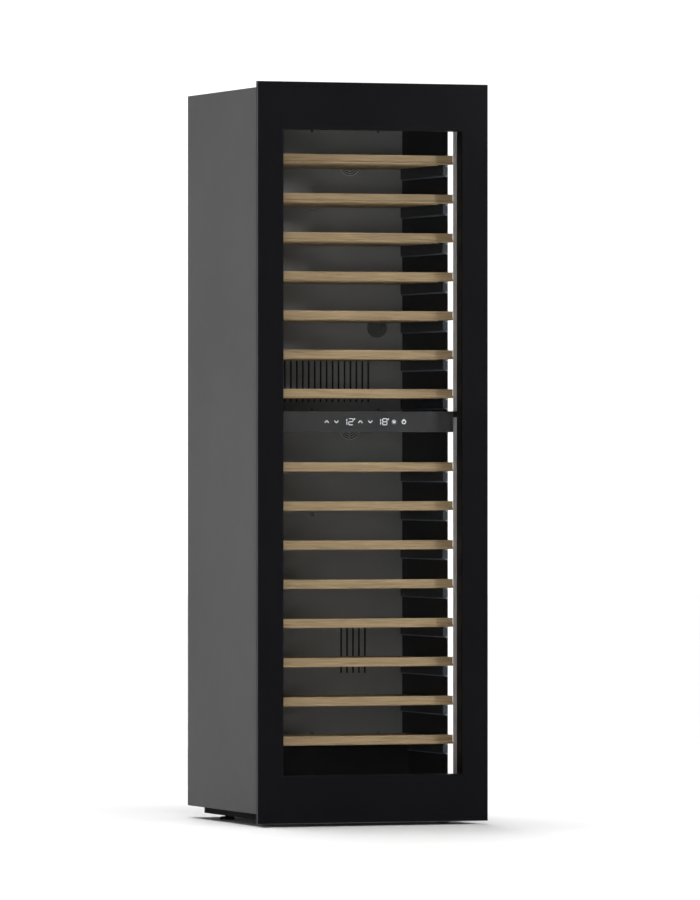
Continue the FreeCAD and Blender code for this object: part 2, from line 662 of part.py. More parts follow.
def grille_tools(x, z):
    """Ring slots with four spokes, and leaning slots on both sides of them."""
    y = "duct_y - overcut"
    length = "duct_sheet + 2 * overcut"
    through = ("duct_y - 2 * overcut", "duct_back_y + 2 * overcut")
    reach = "ring_pitch * %d" % (GRILLE_RINGS + 1)
    spokes = [block(("%s - %s" % (x, reach), "%s + %s" % (x, reach)), through,
                    ("%s - ring_spoke / 2" % z, "%s + ring_spoke / 2" % z)),
              block(("%s - ring_spoke / 2" % x, "%s + ring_spoke / 2" % x), through,
                    ("%s - %s" % (z, reach), "%s + %s" % (z, reach)))]
    tools = []
    for number in range(1, GRILLE_RINGS + 1):
        inner = "ring_pitch * %d" % number
        disc = rod(inner + " + ring_slot", length, x, y, z, along="y")
        core = rod(inner, length, x, y, z, along="y")
        tools.append(cut(disc, [core] + spokes))
    for sign in ("-", "+"):
        for number in range(SIDE_SLOTS):
            shift = "(side_slot_start + side_slot_pitch * %d)" % number
            slot = doc.addObject("Part::Box", "LeaningSlot")
            bind(slot, Length="side_slot_width", Width=length, Height="side_slot_length")
            slot.Placement.Rotation = FreeCAD.Rotation(FreeCAD.Vector(0, 1, 0), SLOT_LEAN)
            place(slot, "%s %s %s - side_slot_width / 2" % (x, sign, shift), y,
                  z + " - side_slot_length / 2")
            tools.append(slot)
    return tools


def straight_slots(middle, count, low, height):
    """A row of upright slots around a middle line."""
    slots = []
    for number in range(count):
        x = "%s + slot_pitch * %s - slot_width / 2" % (middle, number - (count - 1) / 2)
        slots.append(block((x, x + " + slot_width"), ("duct_y - overcut", "duct_back_y + overcut"),
                           (low, "%s + %s" % (low, height))))
    return slots


def build_ducts():
    """The two air-duct panels at the cavity's rear."""
    split = "(divider_z + divider_height / 2)"
    low_slots = "floor_gap + lower_slots_above"
    upper_slots = straight_slots("0", UPPER_SLOTS, "floor_gap + upper_slots_above", "upper_slots_height")
    lower_slots = []
    for middle in ("-lower_slots_offset", "lower_slots_offset"):
        lower_slots += straight_slots(middle, LOWER_SLOTS, low_slots, "lower_slots_height")
    for zone, levels, slots in (("upper", (split, "roof_z"), upper_slots),
                                ("lower", ("step_z", split), lower_slots)):
        sheet = block(("-half_cavity", "half_cavity"), ("duct_y", "duct_back_y"), levels)
        for name, x, z in fan_places():
            if zone in name:
                slots = slots + grille_tools(x, z)
        finish("duct_panel_" + zone, cut(sheet, slots))


def build_fans():
    """Four circulation fans, their motors on bars behind the panels."""
    carriers = []
    for name, x, z in fan_places():
        finish(name, rotor("fan_radius", "fan_hub_radius", "fan_depth", x, "fan_y", z))
        carriers.append(motor_on_bar(x, z))
    carriers.append(condenser_motor())
    finish("fan_motors", group(carriers))


def rotor(radius, hub_radius, depth, x, y, z):
    """A bladed wheel on an axis along +Y, bored for the motor's shaft."""
    wheel = new_body("Rotor", x, y, z)
    sketch = sketch_on(wheel, "XZ_Plane")
    sketch.addGeometry(Part.Circle(FreeCAD.Vector(0, 0, 0), FreeCAD.Vector(0, 0, 1), 5), False)
    sketch.addConstraint(Sketcher.Constraint("Coincident", 0, 3, -1, 1))
    number = sketch.addConstraint(Sketcher.Constraint("Radius", 0, 5.0))
    sketch.setExpression("Constraints[%d]" % number, formula(hub_radius))
    pad(wheel, sketch, depth, reverse=True)
    sketch = sketch_on(wheel, "YZ_Plane")
    rise = "fan_blade_rise * (%s)" % depth
    polygon(sketch, [("0", "0"), (depth, rise), (depth, rise + " + fan_blade_thick"),
                     ("0", "fan_blade_thick")])
    blade = pad(wheel, sketch, radius)
    doc.recompute()
    fan = wheel.newObject("PartDesign::PolarPattern", "Blades")
    fan.Originals = [blade]
    fan.Axis = ([f for f in wheel.Origin.OriginFeatures if f.Role == "Y_Axis"][0], [""])
    fan.Angle = 360
    fan.Occurrences = FAN_BLADES
    wheel.Tip = fan
    bore = rod("shaft_radius + shaft_clearance", depth + " + 2 * overcut", x, y + " - overcut", z,
               along="y")
    return cut(wheel, [bore])


def motor_on_bar(x, z):
    """A fan motor with its shaft, on a bar that two posts hold to the duct panel."""
    motor = rod("motor_radius", "motor_length", x, "motor_y + spin_gap", z, along="y")
    shaft = rod("shaft_radius", "shaft_length + spin_gap", x, "motor_y - shaft_length", z, along="y")
    bar_y = ("motor_y + motor_length - motor_bar", "motor_y + motor_length")
    bar_z = ("%s - motor_bar / 2" % z, "%s + motor_bar / 2" % z)
    bar = block(("%s - motor_arm" % x, "%s + motor_arm" % x), bar_y, bar_z)
    posts = [block(("%s - motor_arm" % x, "%s - motor_arm + motor_bar" % x),
                   ("duct_back_y", bar_y[1]), bar_z),
             block(("%s + motor_arm - motor_bar" % x, "%s + motor_arm" % x),
                   ("duct_back_y", bar_y[1]), bar_z)]
    return fuse([motor, shaft, bar] + posts)


CONDENSER_AXIS = "base_top + condenser_height / 2"
CONDENSER_REAR = "condenser_y + condenser_depth / 2"


def condenser_motor():
    """The condenser fan's motor with its shaft, on a post that stands on the base tray."""
    rear = CONDENSER_REAR + " + fan_air_gap + condenser_fan_depth"
    motor = rod("motor_radius", "motor_length", "condenser_x", rear + " + spin_gap", CONDENSER_AXIS,
                along="y")
    shaft = rod("shaft_radius", "shaft_length + spin_gap", "condenser_x", rear + " - shaft_length",
                CONDENSER_AXIS, along="y")
    post = block(("condenser_x - motor_bar", "condenser_x + motor_bar"),
                 (rear + " + motor_length - motor_bar", rear + " + motor_length"),
                 ("base_top", CONDENSER_AXIS))
    return fuse([motor, shaft, post])


def finned_coil(half_fins, half_tubes, depth, height, x, y, z):
    """Upright fins on level tubes, around a point at the coil's lower front middle."""
    fins = []
    for number in range(COIL_FINS):
        low = "%s + (%s) * %.6f - coil_fin / 2" % (x, half_fins, 2 * number / (COIL_FINS - 1) - 1)
        fins.append(block((low, low + " + coil_fin"), (y, "%s + %s" % (y, depth)),
                          (z, "%s + %s" % (z, height))))
    tubes = []
    for number in range(COIL_TUBES):
        level = "%s + %s * %.6f" % (z, height, (number + 0.5) / COIL_TUBES)
        tubes.append(rod("coil_tube_radius", "2 * (%s)" % half_tubes, "%s - (%s)" % (x, half_tubes),
                         "%s + %s / 2" % (y, depth), level, along="x"))
    return fuse(fins + tubes)


def build_cooling():
    """Evaporators, condenser, compressor and the tray on top of it."""
    coils = [finned_coil("coil_width / 2", "half_cavity", "coil_depth", "coil_height", "0",
                         "duct_back_y + fan_air_gap", "floor_gap + %s_coil_above" % zone)
             for zone in ("upper", "lower")]
    finish("evaporators", group(coils))

    half = "condenser_width / 2"
    finish("condenser", finned_coil(half, half + " + coil_tube_radius", "condenser_depth",
                                    "condenser_height", "condenser_x",
                                    "condenser_y - condenser_depth / 2", "base_top"))
    finish("condenser_fan", rotor("condenser_fan_radius", "condenser_fan_hub", "condenser_fan_depth",
                                  "condenser_x", CONDENSER_REAR + " + fan_air_gap", CONDENSER_AXIS))

    low = "base_top + rubber_foot"
    shell = rod("compressor_radius", "compressor_height", "compressor_x", "compressor_y", low)
    doc.recompute()
    rounded = doc.addObject("Part::Fillet", "CompressorRounds")
    rounded.Base = shell
    radius = SIZES["compressor_fillet"]
    rounded.Edges = [(1, radius, radius), (3, radius, radius)]
    hollow = rod("compressor_radius - compressor_shell", "compressor_height - 2 * compressor_fillet",
                 "compressor_x", "compressor_y", low + " + compressor_fillet")
    legs = [rod("rubber_radius", "rubber_foot", "compressor_x %s rubber_spread" % along,
                "compressor_y %s rubber_spread" % across, "base_top")
            for along in "+-" for across in "+-"]
    finish("compressor", fuse([cut(rounded, [hollow])] + legs))

    top = low + " + compressor_height"
    x = ("compressor_x - tray_width / 2", "compressor_x + tray_width / 2")
    y = ("compressor_y - tray_length / 2", "compressor_y + tray_length / 2")
    outer = block(x, y, (top, top + " + tray_height"))
    inside = block((x[0] + " + tray_wall", x[1] + " - tray_wall"),
                   (y[0] + " + tray_wall", y[1] + " - tray_wall"),
                   (top + " + tray_wall", top + " + tray_height + overcut"))
    finish("drip_tray", cut(outer, [inside]))


def build_electrics():
    """Power board's box on the base tray and the mains inlet in the rear cover."""
    back = "panel_back_y - inlet_depth"
    middle = "base_top + inlet_above + inlet_height / 2"
    finish("power_box", block(("box_x - box_width / 2", "box_x + box_width / 2"),
                              (back + " - box_depth", back), ("base_top", "base_top + box_height")))
    x = ("box_x - inlet_width / 2", "box_x + inlet_width / 2")
    z = ("base_top + inlet_above", "base_top + inlet_above + inlet_height")
    shell = block(x, (back, "back_y"), z)
    socket = block((x[0] + " + inlet_wall", x[1] + " - inlet_wall"),
                   (back + " + inlet_wall", "back_y + overcut"),
                   (z[0] + " + inlet_wall", z[1] + " - inlet_wall"))
    pins = [block(("box_x + %s - inlet_pin / 2" % shift, "box_x + %s + inlet_pin / 2" % shift),
                  (back + " + inlet_wall - overcut", back + " + inlet_wall + inlet_pin_length"),
                  (middle + " - inlet_pin", middle + " + inlet_pin"))
            for shift in ("-3 * inlet_pin", "0", "3 * inlet_pin")]
    finish("mains_inlet", fuse([cut(shell, [socket])] + pins))


def build_small_parts():
    """Air sensors, charcoal filter and the panels' screws."""
    sensors = [rod("sensor_radius", "sensor_length", "0", "duct_y - sensor_length",
                   "floor_gap + %s_sensor_above" % zone, along="y") for zone in ("upper", "lower")]
    finish("air_sensors", group(sensors))
    finish("charcoal_filter", rod("filter_radius", "filter_length", "filter_x", "duct_y - filter_length",
                                  "floor_gap + filter_above", along="y"))
    levels = ("roof_z - screw_end_gap", "control_top + screw_end_gap / 2",
              "divider_z - screw_end_gap / 2", "step_z + screw_end_gap")
    screws = []
    for level in levels:
        for x in ("-screw_spread", "0", "screw_spread"):
            screws.append(rod("screw_radius", "screw_head", x, "duct_y - screw_head", level, along="y"))
    finish("panel_screws", group(screws))


def build_feet():
    """Four levelling feet, each with a stem that runs in a boss under the base tray."""
    names = ("foot_front_left", "foot_front_right", "foot_rear_left", "foot_rear_right")
    for name, (x, y) in zip(names, foot_places()):
        disc = rod("foot_radius", "foot_pad", x, y, "0")
        stem = rod("foot_stem_radius", "body_low - foot_top_gap", x, y, "0")
        finish(name, fuse([disc, stem]))


build_casing()
build_cover()
build_liner()
build_insulation()
build_door()
build_hinges()
build_shelves()
build_runners()
build_floor_rack()
build_lighting()
build_control()
build_ducts()
build_fans()
build_cooling()
build_electrics()
build_small_parts()
build_feet()
doc.recompute()

for item in doc.Objects:
    if "Invalid" in item.State or "Error" in item.State:
        raise RuntimeError("%s (%s) failed: %s" % (item.Name, item.Label, item.State))
for node in nodes:
    if node.Shape.isNull() or not node.Shape.isValid():
        raise RuntimeError(node.Label + " has no valid shape")

os.makedirs("parts", exist_ok=True)
for node in nodes:
    node.Shape.exportStep("parts/%s.step" % node.Label)
print("%d nodes, %d solids" % (len(nodes), sum(len(n.Shape.Solids) for n in nodes)))
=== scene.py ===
"""A tall two-zone wine cooler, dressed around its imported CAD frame.

Every length is in metres, in the CAD model's own frame: +Z up, the door faces -Y, X to the right.
Sizes written with MM are millimetres.
"""

import logging
import math
from dataclasses import dataclass
from enum import Enum

import bmesh
import bpy
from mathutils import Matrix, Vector


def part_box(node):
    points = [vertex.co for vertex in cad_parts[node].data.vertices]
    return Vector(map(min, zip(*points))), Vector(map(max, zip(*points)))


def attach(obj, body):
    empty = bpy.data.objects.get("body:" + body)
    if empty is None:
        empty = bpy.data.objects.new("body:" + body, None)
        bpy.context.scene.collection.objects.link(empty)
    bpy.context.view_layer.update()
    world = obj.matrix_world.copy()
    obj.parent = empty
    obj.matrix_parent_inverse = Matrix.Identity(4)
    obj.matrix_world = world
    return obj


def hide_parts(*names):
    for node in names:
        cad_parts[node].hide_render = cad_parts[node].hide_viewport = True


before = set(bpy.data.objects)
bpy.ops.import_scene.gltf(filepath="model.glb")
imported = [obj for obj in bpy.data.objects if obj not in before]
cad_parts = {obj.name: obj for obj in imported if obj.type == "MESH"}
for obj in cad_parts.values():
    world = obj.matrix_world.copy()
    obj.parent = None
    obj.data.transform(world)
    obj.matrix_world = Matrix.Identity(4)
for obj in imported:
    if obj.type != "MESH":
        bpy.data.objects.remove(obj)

LOG = logging.getLogger("wine_cooler")
MM = 0.001
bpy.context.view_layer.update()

Colour = tuple[float, float, float]
Point = tuple[float, float, float]
Flat = tuple[float, float]


class Axis(Enum):
    """A direction of the frame, with the index of its coordinate."""

    X = 0
    Y = 1
    Z = 2


# ---------------------------------------------------------------- finishes
class Graph:
    """A material's node tree, with short calls for adding and joining nodes."""

    def __init__(self, name: str) -> None:
        """Start a material that has one principled shader.

        Args:
            name: The material's name.
        """
        self.material = bpy.data.materials.new(name)
        self.material.use_nodes = True
        self.tree = self.material.node_tree
        self.tree.nodes.clear()
        self.output = self.add("ShaderNodeOutputMaterial")
        self.shader = self.add("ShaderNodeBsdfPrincipled")
        self.join(self.shader, "BSDF", self.output, "Surface")
        self.place = self.add("ShaderNodeTexCoord")

    def add(self, kind: str, **values: object) -> bpy.types.Node:
        """Add a node.

        Args:
            kind: The node's Blender type.
            **values: Properties of the node, or values of its inputs, by name with _ for a space.

        Returns:
            The new node.
        """
        node = self.tree.nodes.new(kind)
        for key, value in values.items():
            if hasattr(node, key):
                setattr(node, key, value)
            else:
                node.inputs[key.replace("_", " ")].default_value = value
        return node

    def join(self, source: bpy.types.Node, out: str | int, target: bpy.types.Node, into: str | int) -> None:
        """Link one node's output to another's input."""
        self.tree.links.new(source.outputs[out], target.inputs[into])

    def set(self, **values: object) -> None:
        """Set values on the shader's own sockets, by name with _ for a space."""
        for key, value in values.items():
            self.shader.inputs[key.replace("_", " ")].default_value = value

    def stretched(self, scale: Point) -> bpy.types.Node:
        """The object's coordinates, stretched.

        Args:
            scale: Factor along each axis.

        Returns:
            The mapping node.
        """
        mapping = self.add("ShaderNodeMapping", Scale=scale)
        self.join(self.place, "Object", mapping, "Vector")
        return mapping

    def noise(self, scale: float, detail: float = 3.0, stretch: Point = (1, 1, 1)) -> bpy.types.Node:
        """A noise texture on the object's coordinates.

        Args:
            scale: Features in a metre.
            detail: Octaves of finer noise.
            stretch: Factor along each axis.

        Returns:
            The texture node.
        """
        texture = self.add("ShaderNodeTexNoise", Scale=scale, Detail=detail)
        self.join(self.stretched(stretch), "Vector", texture, "Vector")
        return texture

    def cells(self, scale: float) -> bpy.types.Node:
        """A cell texture on the object's coordinates, with that many cells in a metre."""
        texture = self.add("ShaderNodeTexVoronoi", Scale=scale)
        self.join(self.place, "Object", texture, "Vector")
        return texture

    def ramp(self, source: bpy.types.Node, stops: list[tuple[float, Colour]]) -> bpy.types.Node:
        """A colour ramp over a texture's first output.

        Args:
            source: The texture.
            stops: Positions and colours, in order.

        Returns:
            The ramp node.
        """
        node = self.add("ShaderNodeValToRGB")
        marks = node.color_ramp.elements
        while len(marks) < len(stops):
            marks.new(0.5)
        for mark, (position, colour) in zip(marks, stops):
            mark.position = position
            mark.color = (*colour, 1.0)
        self.join(source, 0, node, 0)
        return node

    def tint(self, source: bpy.types.Node, colour: Colour, spread: float) -> None:
        """Let a texture make the base colour darker and lighter by a share of it."""
        ramp = self.ramp(source, [(0.3, shade(colour, 1 - spread)), (0.7, shade(colour, 1 + spread))])
        self.join(ramp, "Color", self.shader, "Base Color")

    def roughness(self, source: bpy.types.Node, low: float, high: float) -> None:
        """Vary the roughness between two values with a texture."""
        spread = self.add("ShaderNodeMapRange", To_Min=low, To_Max=high)
        self.join(source, 0, spread, "Value")
        self.join(spread, "Result", self.shader, "Roughness")

    def bump(self, source: bpy.types.Node, depth: float, strength: float = 1.0,
             under: bpy.types.Node | None = None) -> bpy.types.Node:
        """Raise the surface with a texture.

        Args:
            source: The texture whose first output is the height.
            depth: Height in metres of a full step.
            strength: Share of the effect.
            under: A bump node that this one lies on.

        Returns:
            The bump node.
        """
        node = self.add("ShaderNodeBump", Strength=strength, Distance=depth)
        self.join(source, 0, node, "Height")
        if under is not None:
            self.join(under, "Normal", node, "Normal")
        self.join(node, "Normal", self.shader, "Normal")
        return node


def shade(colour: Colour, factor: float) -> Colour:
    """A colour made lighter or darker by a factor."""
    return tuple(min(1.0, channel * factor) for channel in colour)


@dataclass(frozen=True)
class Paint:
    """Powder-coated or sprayed sheet metal with faint mottling and orange peel.

    Attributes:
        name: The material's name.
        colour: Its linear colour.
        rough: Its middle roughness.
        peel: Height of the orange peel in metres.
    """

    name: str
    colour: Colour
    rough: float = 0.42
    peel: float = 0.00004

    def make(self) -> bpy.types.Material:
        """Build the material."""
        graph = Graph(self.name)
        graph.tint(graph.noise(2.2, 4.0), self.colour, 0.05)
        graph.roughness(graph.noise(14.0, 5.0), self.rough - 0.05, self.rough + 0.05)
        graph.bump(graph.noise(900.0, 2.0), self.peel, 0.5)
        return graph.material


@dataclass(frozen=True)
class Plastic:
    """Moulded plastic with a fine spark-eroded grain.

    Attributes:
        name: The material's name.
        colour: Its linear colour.
        rough: Its middle roughness.
        grain: Grains in a metre.
    """

    name: str
    colour: Colour
    rough: float = 0.5
    grain: float = 1400.0

    def make(self) -> bpy.types.Material:
        """Build the material."""
        graph = Graph(self.name)
        cells = graph.cells(self.grain)
        graph.tint(graph.noise(9.0, 3.0), self.colour, 0.1)
        graph.roughness(cells, self.rough - 0.06, self.rough + 0.06)
        graph.bump(cells, 0.00005, 0.35)
        return graph.material


@dataclass(frozen=True)
class Metal:
    """Bare metal with brushing along one axis.

    Attributes:
        name: The material's name.
        colour: Its linear colour.
        along: The axis that the brushing follows.
        rough: Its middle roughness.
        metallic: How metallic it is.
    """

    name: str
    colour: Colour
    along: Axis = Axis.Z
    rough: float = 0.32
    metallic: float = 1.0

    def make(self) -> bpy.types.Material:
        """Build the material."""
        graph = Graph(self.name)
        graph.set(Metallic=self.metallic)
        stretch = [1.0, 1.0, 1.0]
        stretch[self.along.value] = 0.02
        lines = graph.noise(1600.0, 2.0, tuple(stretch))
        graph.tint(lines, self.colour, 0.12)
        graph.roughness(lines, self.rough - 0.08, self.rough + 0.1)
        graph.bump(lines, 0.00002, 0.4)
        return graph.material


@dataclass(frozen=True)
class Spangle:
    """Galvanised sheet with the flat crystals of its zinc.

    Attributes:
        name: The material's name.
        colour: Its linear colour.
    """

    name: str
    colour: Colour

    def make(self) -> bpy.types.Material:
        """Build the material."""
        graph = Graph(self.name)
        graph.set(Metallic=0.7)
        crystals = graph.add("ShaderNodeTexVoronoi", Scale=95.0)
        warp = graph.noise(40.0, 2.0)
        mix = graph.add("ShaderNodeMixRGB", Fac=0.06)
        graph.join(graph.place, "Object", mix, 1)
        graph.join(warp, "Color", mix, 2)
        graph.join(mix, 0, crystals, "Vector")
        grey = graph.add("ShaderNodeRGBToBW")
        graph.join(crystals, "Color", grey, 0)
        graph.tint(grey, self.colour, 0.14)
        graph.roughness(grey, 0.34, 0.56)
        graph.bump(graph.noise(600.0, 2.0), 0.00002, 0.4)
        return graph.material


@dataclass(frozen=True)
class Wood:
    """Oiled beech with long fibres, darker late-wood bands and small pores.

    Attributes:
        name: The material's name.
        along: The axis that the fibres follow.
        light: Colour between the bands.
        dark: Colour of the bands.
    """

    name: str
    along: Axis
    light: Colour = (0.49, 0.355, 0.19)
    dark: Colour = (0.32, 0.22, 0.11)

    def make(self) -> bpy.types.Material:
        """Build the material."""
        graph = Graph(self.name)
        slow = [9.0, 9.0, 9.0]
        slow[self.along.value] = 0.55
        fine = [70.0, 70.0, 70.0]
        fine[self.along.value] = 1.6
        bands = graph.noise(5.0, 6.0, tuple(slow))
        fibres = graph.noise(9.0, 4.0, tuple(fine))
        tone = graph.ramp(bands, [(0.30, self.dark), (0.48, self.light),
                                  (0.62, shade(self.light, 0.86)), (0.75, shade(self.light, 1.08))])
        streak = graph.ramp(fibres, [(0.36, (0.62, 0.56, 0.48)), (0.55, (1.0, 1.0, 1.0))])
        mix = graph.add("ShaderNodeMixRGB", blend_type="MULTIPLY", Fac=0.75)
        graph.join(tone, "Color", mix, 1)
        graph.join(streak, "Color", mix, 2)
        graph.join(mix, 0, graph.shader, "Base Color")
        graph.roughness(fibres, 0.66, 0.48)
        pores = graph.bump(fibres, 0.00012, 0.5)
        graph.bump(bands, 0.0002, 0.25, pores)
        return graph.material


@dataclass(frozen=True)
class Glass:
    """A flat polished pane: what is behind it shows through its alpha.

    Attributes:
        name: The material's name.
        colour: Colour of the pane's own surface.
        alpha: Share of the view that the pane's own surface takes.
        rough: Roughness of its polish.
    """

    name: str
    colour: Colour
    alpha: float = 1.0
    rough: float = 0.06

    def make(self) -> bpy.types.Material:
        """Build the material."""
        graph = Graph(self.name)
        graph.set(Alpha=self.alpha, IOR=1.5)
        haze = graph.noise(3.0, 5.0)
        graph.tint(haze, self.colour, 0.08)
        graph.roughness(haze, self.rough, self.rough + 0.05)
        return graph.material


@dataclass(frozen=True)
class Glow:
    """A surface that gives light, with a faint unevenness along it.

    Attributes:
        name: The material's name.
        colour: Colour of the light.
        strength: Its strength.
    """

    name: str
    colour: Colour
    strength: float

    def make(self) -> bpy.types.Material:
        """Build the material."""
        graph = Graph(self.name)
        graph.set(Emission_Strength=self.strength, Roughness=0.5)
        dots = graph.noise(60.0, 1.0)
        ramp = graph.ramp(dots, [(0.3, shade(self.colour, 0.93)), (0.7, self.colour)])
        graph.join(ramp, "Color", graph.shader, "Emission Color")
        graph.join(ramp, "Color", graph.shader, "Base Color")
        return graph.material


@dataclass(frozen=True)
class Soft:
    """Rubber, foam or filter cloth: matt, with a coarse open texture.

    Attributes:
        name: The material's name.
        colour: Its linear colour.
        cells: Cells in a metre.
        depth: Depth of the cells in metres.
    """

    name: str
    colour: Colour
    cells: float = 700.0
    depth: float = 0.0001

    def make(self) -> bpy.types.Material:
        """Build the material."""
        graph = Graph(self.name)
        cells = graph.cells(self.cells)
        ramp = graph.ramp(cells, [(0.0, shade(self.colour, 1.25)), (0.6, shade(self.colour, 0.8))])
        graph.join(ramp, "Color", graph.shader, "Base Color")
        graph.roughness(cells, 0.7, 0.9)
        graph.bump(cells, self.depth, 0.6)
        return graph.material


FINISHES = (
    Paint("cabinet_paint", (0.172, 0.172, 0.172), 0.5),
    Spangle("rear_zinc", (0.55, 0.56, 0.57)),
    Paint("plinth_paint", (0.02, 0.02, 0.02), 0.5),
    Plastic("frame_black", (0.0028, 0.0028, 0.003), 0.55),
    Plastic("liner_black", (0.0025, 0.0025, 0.0027), 0.6),
    Paint("duct_paint", (0.45, 0.46, 0.45), 0.5),
    Metal("coil_aluminium", (0.75, 0.76, 0.77), Axis.Z, 0.4),
    Plastic("fan_black", (0.012, 0.012, 0.013), 0.4),
    Paint("compressor_black", (0.008, 0.008, 0.008), 0.25, 0.00008),
    Plastic("box_grey", (0.25, 0.25, 0.25), 0.5),
    Plastic("inlet_black", (0.008, 0.008, 0.008), 0.35),
    Plastic("control_black", (0.012, 0.012, 0.012), 0.45),
    Glass("touch_glass", (0.052, 0.052, 0.052), 1.0, 0.14),
    Glow("strip_light", (1.0, 1.0, 1.0), 1.15),
    Metal("profile_metal", (0.62, 0.62, 0.62), Axis.Z, 0.5, 0.2),
    Metal("runner_steel", (0.26, 0.31, 0.38), Axis.Y, 0.5, 0.3),
    # The slides' steel below is the runners' steel darkened about sevenfold: painted shade for the slides
    # deeper in the cabinet.
    Metal("slide_steel_painted_shade", (0.035, 0.042, 0.052), Axis.Y, 0.5, 0.3),
    Wood("beech_across", Axis.X),
    Wood("beech_deep", Axis.Y),
    Glass("border_glass", (0.0072, 0.0072, 0.0084), 1.0, 0.05),
    Glass("clear_pane", (0.02, 0.02, 0.021), 0.04, 0.03),
    Glass("inner_glass", (0.02, 0.022, 0.022), 0.03, 0.03),
    Metal("edge_metal", (0.16, 0.16, 0.16), Axis.Z, 0.42, 0.5),
    Soft("seal_rubber", (0.008, 0.008, 0.008), 900.0, 0.00005),
    Metal("hinge_steel", (0.55, 0.55, 0.55), Axis.Y, 0.3),
    Soft("foot_rubber", (0.012, 0.012, 0.012), 700.0),
    Plastic("sensor_white", (0.6, 0.6, 0.6), 0.5),
    Soft("filter_cloth", (0.24, 0.245, 0.24), 500.0, 0.0004),
    Metal("screw_steel", (0.6, 0.6, 0.6), Axis.X, 0.25),
    Soft("foam", (0.62, 0.55, 0.35), 350.0, 0.0004),
    Glow("sign_light", (0.9, 0.95, 1.0), 0.5),
    # The guard wire below is near-white with no metallic share: painted sheen in place of the wire's
    # reflections.
    Metal("guard_wire_painted_sheen", (0.95, 0.95, 0.95), Axis.X, 0.3, 0.0),
)
PALETTE = {finish.name: finish.make() for finish in FINISHES}


# ---------------------------------------------------------------- mesh work
class Shape:
    """A closed mesh under construction, made of any number of solids."""

    def __init__(self) -> None:
        """Start with no solids."""
        self.bm = bmesh.new()

    def block(self, low: Point, high: Point) -> None:
        """Add a box between two corners."""
        outline = [(low[0], low[1]), (high[0], low[1]), (high[0], high[1]), (low[0], high[1])]
        self.prism(outline, Axis.Z, low[2], high[2])

    def prism(self, outline: list[Flat], along: Axis, start: float, end: float) -> None:
        """Add an outline pulled along an axis.

        Args:
            outline: Corners on the other two axes, in the order of their letters.
            along: The axis it is pulled along.
            start: Where it starts.
            end: Where it ends.
        """
        def corner(flat: Flat, level: float) -> Point:
            point = list(flat)
            point.insert(along.value, level)
            return tuple(point)

        near = [self.bm.verts.new(corner(flat, start)) for flat in outline]
        far = [self.bm.verts.new(corner(flat, end)) for flat in outline]
        self.bm.faces.new(near)
        self.bm.faces.new(far)
        self.bridge(near, far)

    def bridge(self, near: list[bmesh.types.BMVert], far: list[bmesh.types.BMVert]) -> None:
        """Join two closed rows of corners with faces; a row of one corner makes a fan."""
        count = max(len(near), len(far))
        for n in range(count):
            ring = [near[n % len(near)], near[(n + 1) % len(near)],
                    far[(n + 1) % len(far)], far[n % len(far)]]
            unique = list(dict.fromkeys(ring))
            if len(unique) > 2:
                self.bm.faces.new(unique)

    def lathe(self, profile: list[Flat], centre: Point, along: Axis, steps: int = 32,
              closed: bool = False, sides: int = 0, hexed: tuple[int, ...] = ()) -> None:
        """Add a turned solid.

        Args:
            profile: Radius and distance along the axis, point by point.
            centre: Where the axis starts.
            along: The axis.
            steps: Faces round it.
            closed: True for a ring whose profile closes on itself.
            sides: Sides of the rows that are polygons and not round.
            hexed: Numbers of those rows.
        """
        rows = []
        others = [axis.value for axis in Axis if axis is not along]
        for number, (radius, level) in enumerate(profile):
            row = []
            for n in range(steps if radius > 0 else 1):
                turn = 2 * math.pi * n / steps
                reach = radius
                if number in hexed:
                    part = math.pi / sides
                    reach = radius * math.cos(part) / math.cos((turn % (2 * part)) - part)
                point = [0.0, 0.0, 0.0]
                point[along.value] = centre[along.value] + level
                point[others[0]] = centre[others[0]] + reach * math.cos(turn)
                point[others[1]] = centre[others[1]] + reach * math.sin(turn)
                row.append(self.bm.verts.new(point))
            rows.append(row)
        for near, far in zip(rows, rows[1:]):
            self.bridge(near, far)
        if closed:
            self.bridge(rows[-1], rows[0])

    def surround(self, profile: list[tuple[Flat, float]], half: float, low: float, high: float) -> None:
        """Add a mitred rectangular ring that stands in the XZ plane around the middle.

        Args:
            profile: For each point, its inset from the side and from the ends, and its Y.
            half: Half the ring's outer width.
            low: Its outer lower edge.
            high: Its outer upper edge.
        """
        rows = []
        for (side, end), y in profile:
            x = half - side
            corners = [(-x, y, low + end), (x, y, low + end), (x, y, high - end), (-x, y, high - end)]
            rows.append([self.bm.verts.new(corner) for corner in corners])
        for number, row in enumerate(rows):
            self.bridge(row, rows[(number + 1) % len(rows)])

    def rounded(self, width: float, segments: int = 2, angle: float = 40.0) -> None:
        """Round every sharp edge made so far.

        Args:
            width: Width of the rounding in metres.
            segments: Faces across it.
            angle: Smallest angle in degrees that counts as sharp.
        """
        bmesh.ops.recalc_face_normals(self.bm, faces=self.bm.faces)
        sharp = [edge for edge in self.bm.edges
                 if len(edge.link_faces) == 2 and edge.calc_face_angle(0) > math.radians(angle)]
        bmesh.ops.bevel(self.bm, geom=sharp, offset=width, segments=segments, profile=0.6,
                        affect="EDGES", clamp_overlap=True)

    def piece(self, name: str, finish: str, body: str, slot: str, *nodes: str) -> None:
        """Turn the mesh into a piece of the cooler.

        Args:
            name: The piece's name.
            finish: Its finish.
            body: The CAD body that it moves with.
            slot: The record's material slot; not used.
            *nodes: The CAD nodes that it stands for.
        """
        bmesh.ops.recalc_face_normals(self.bm, faces=self.bm.faces)
        for face in self.bm.faces:
            face.smooth = True
        for edge in self.bm.edges:
            edge.smooth = len(edge.link_faces) == 2 and edge.calc_face_angle(0) < math.radians(33)
        data = bpy.data.meshes.new(name)
        self.bm.to_mesh(data)
        self.bm.free()
        data.materials.append(PALETTE[finish])
        thing = bpy.data.objects.new(name, data)
        bpy.context.collection.objects.link(thing)
        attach(thing, body)
        if nodes:
            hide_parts(*nodes)
        LOG.info("made %s: %d faces, rides on %s", name, len(data.polygons), body)


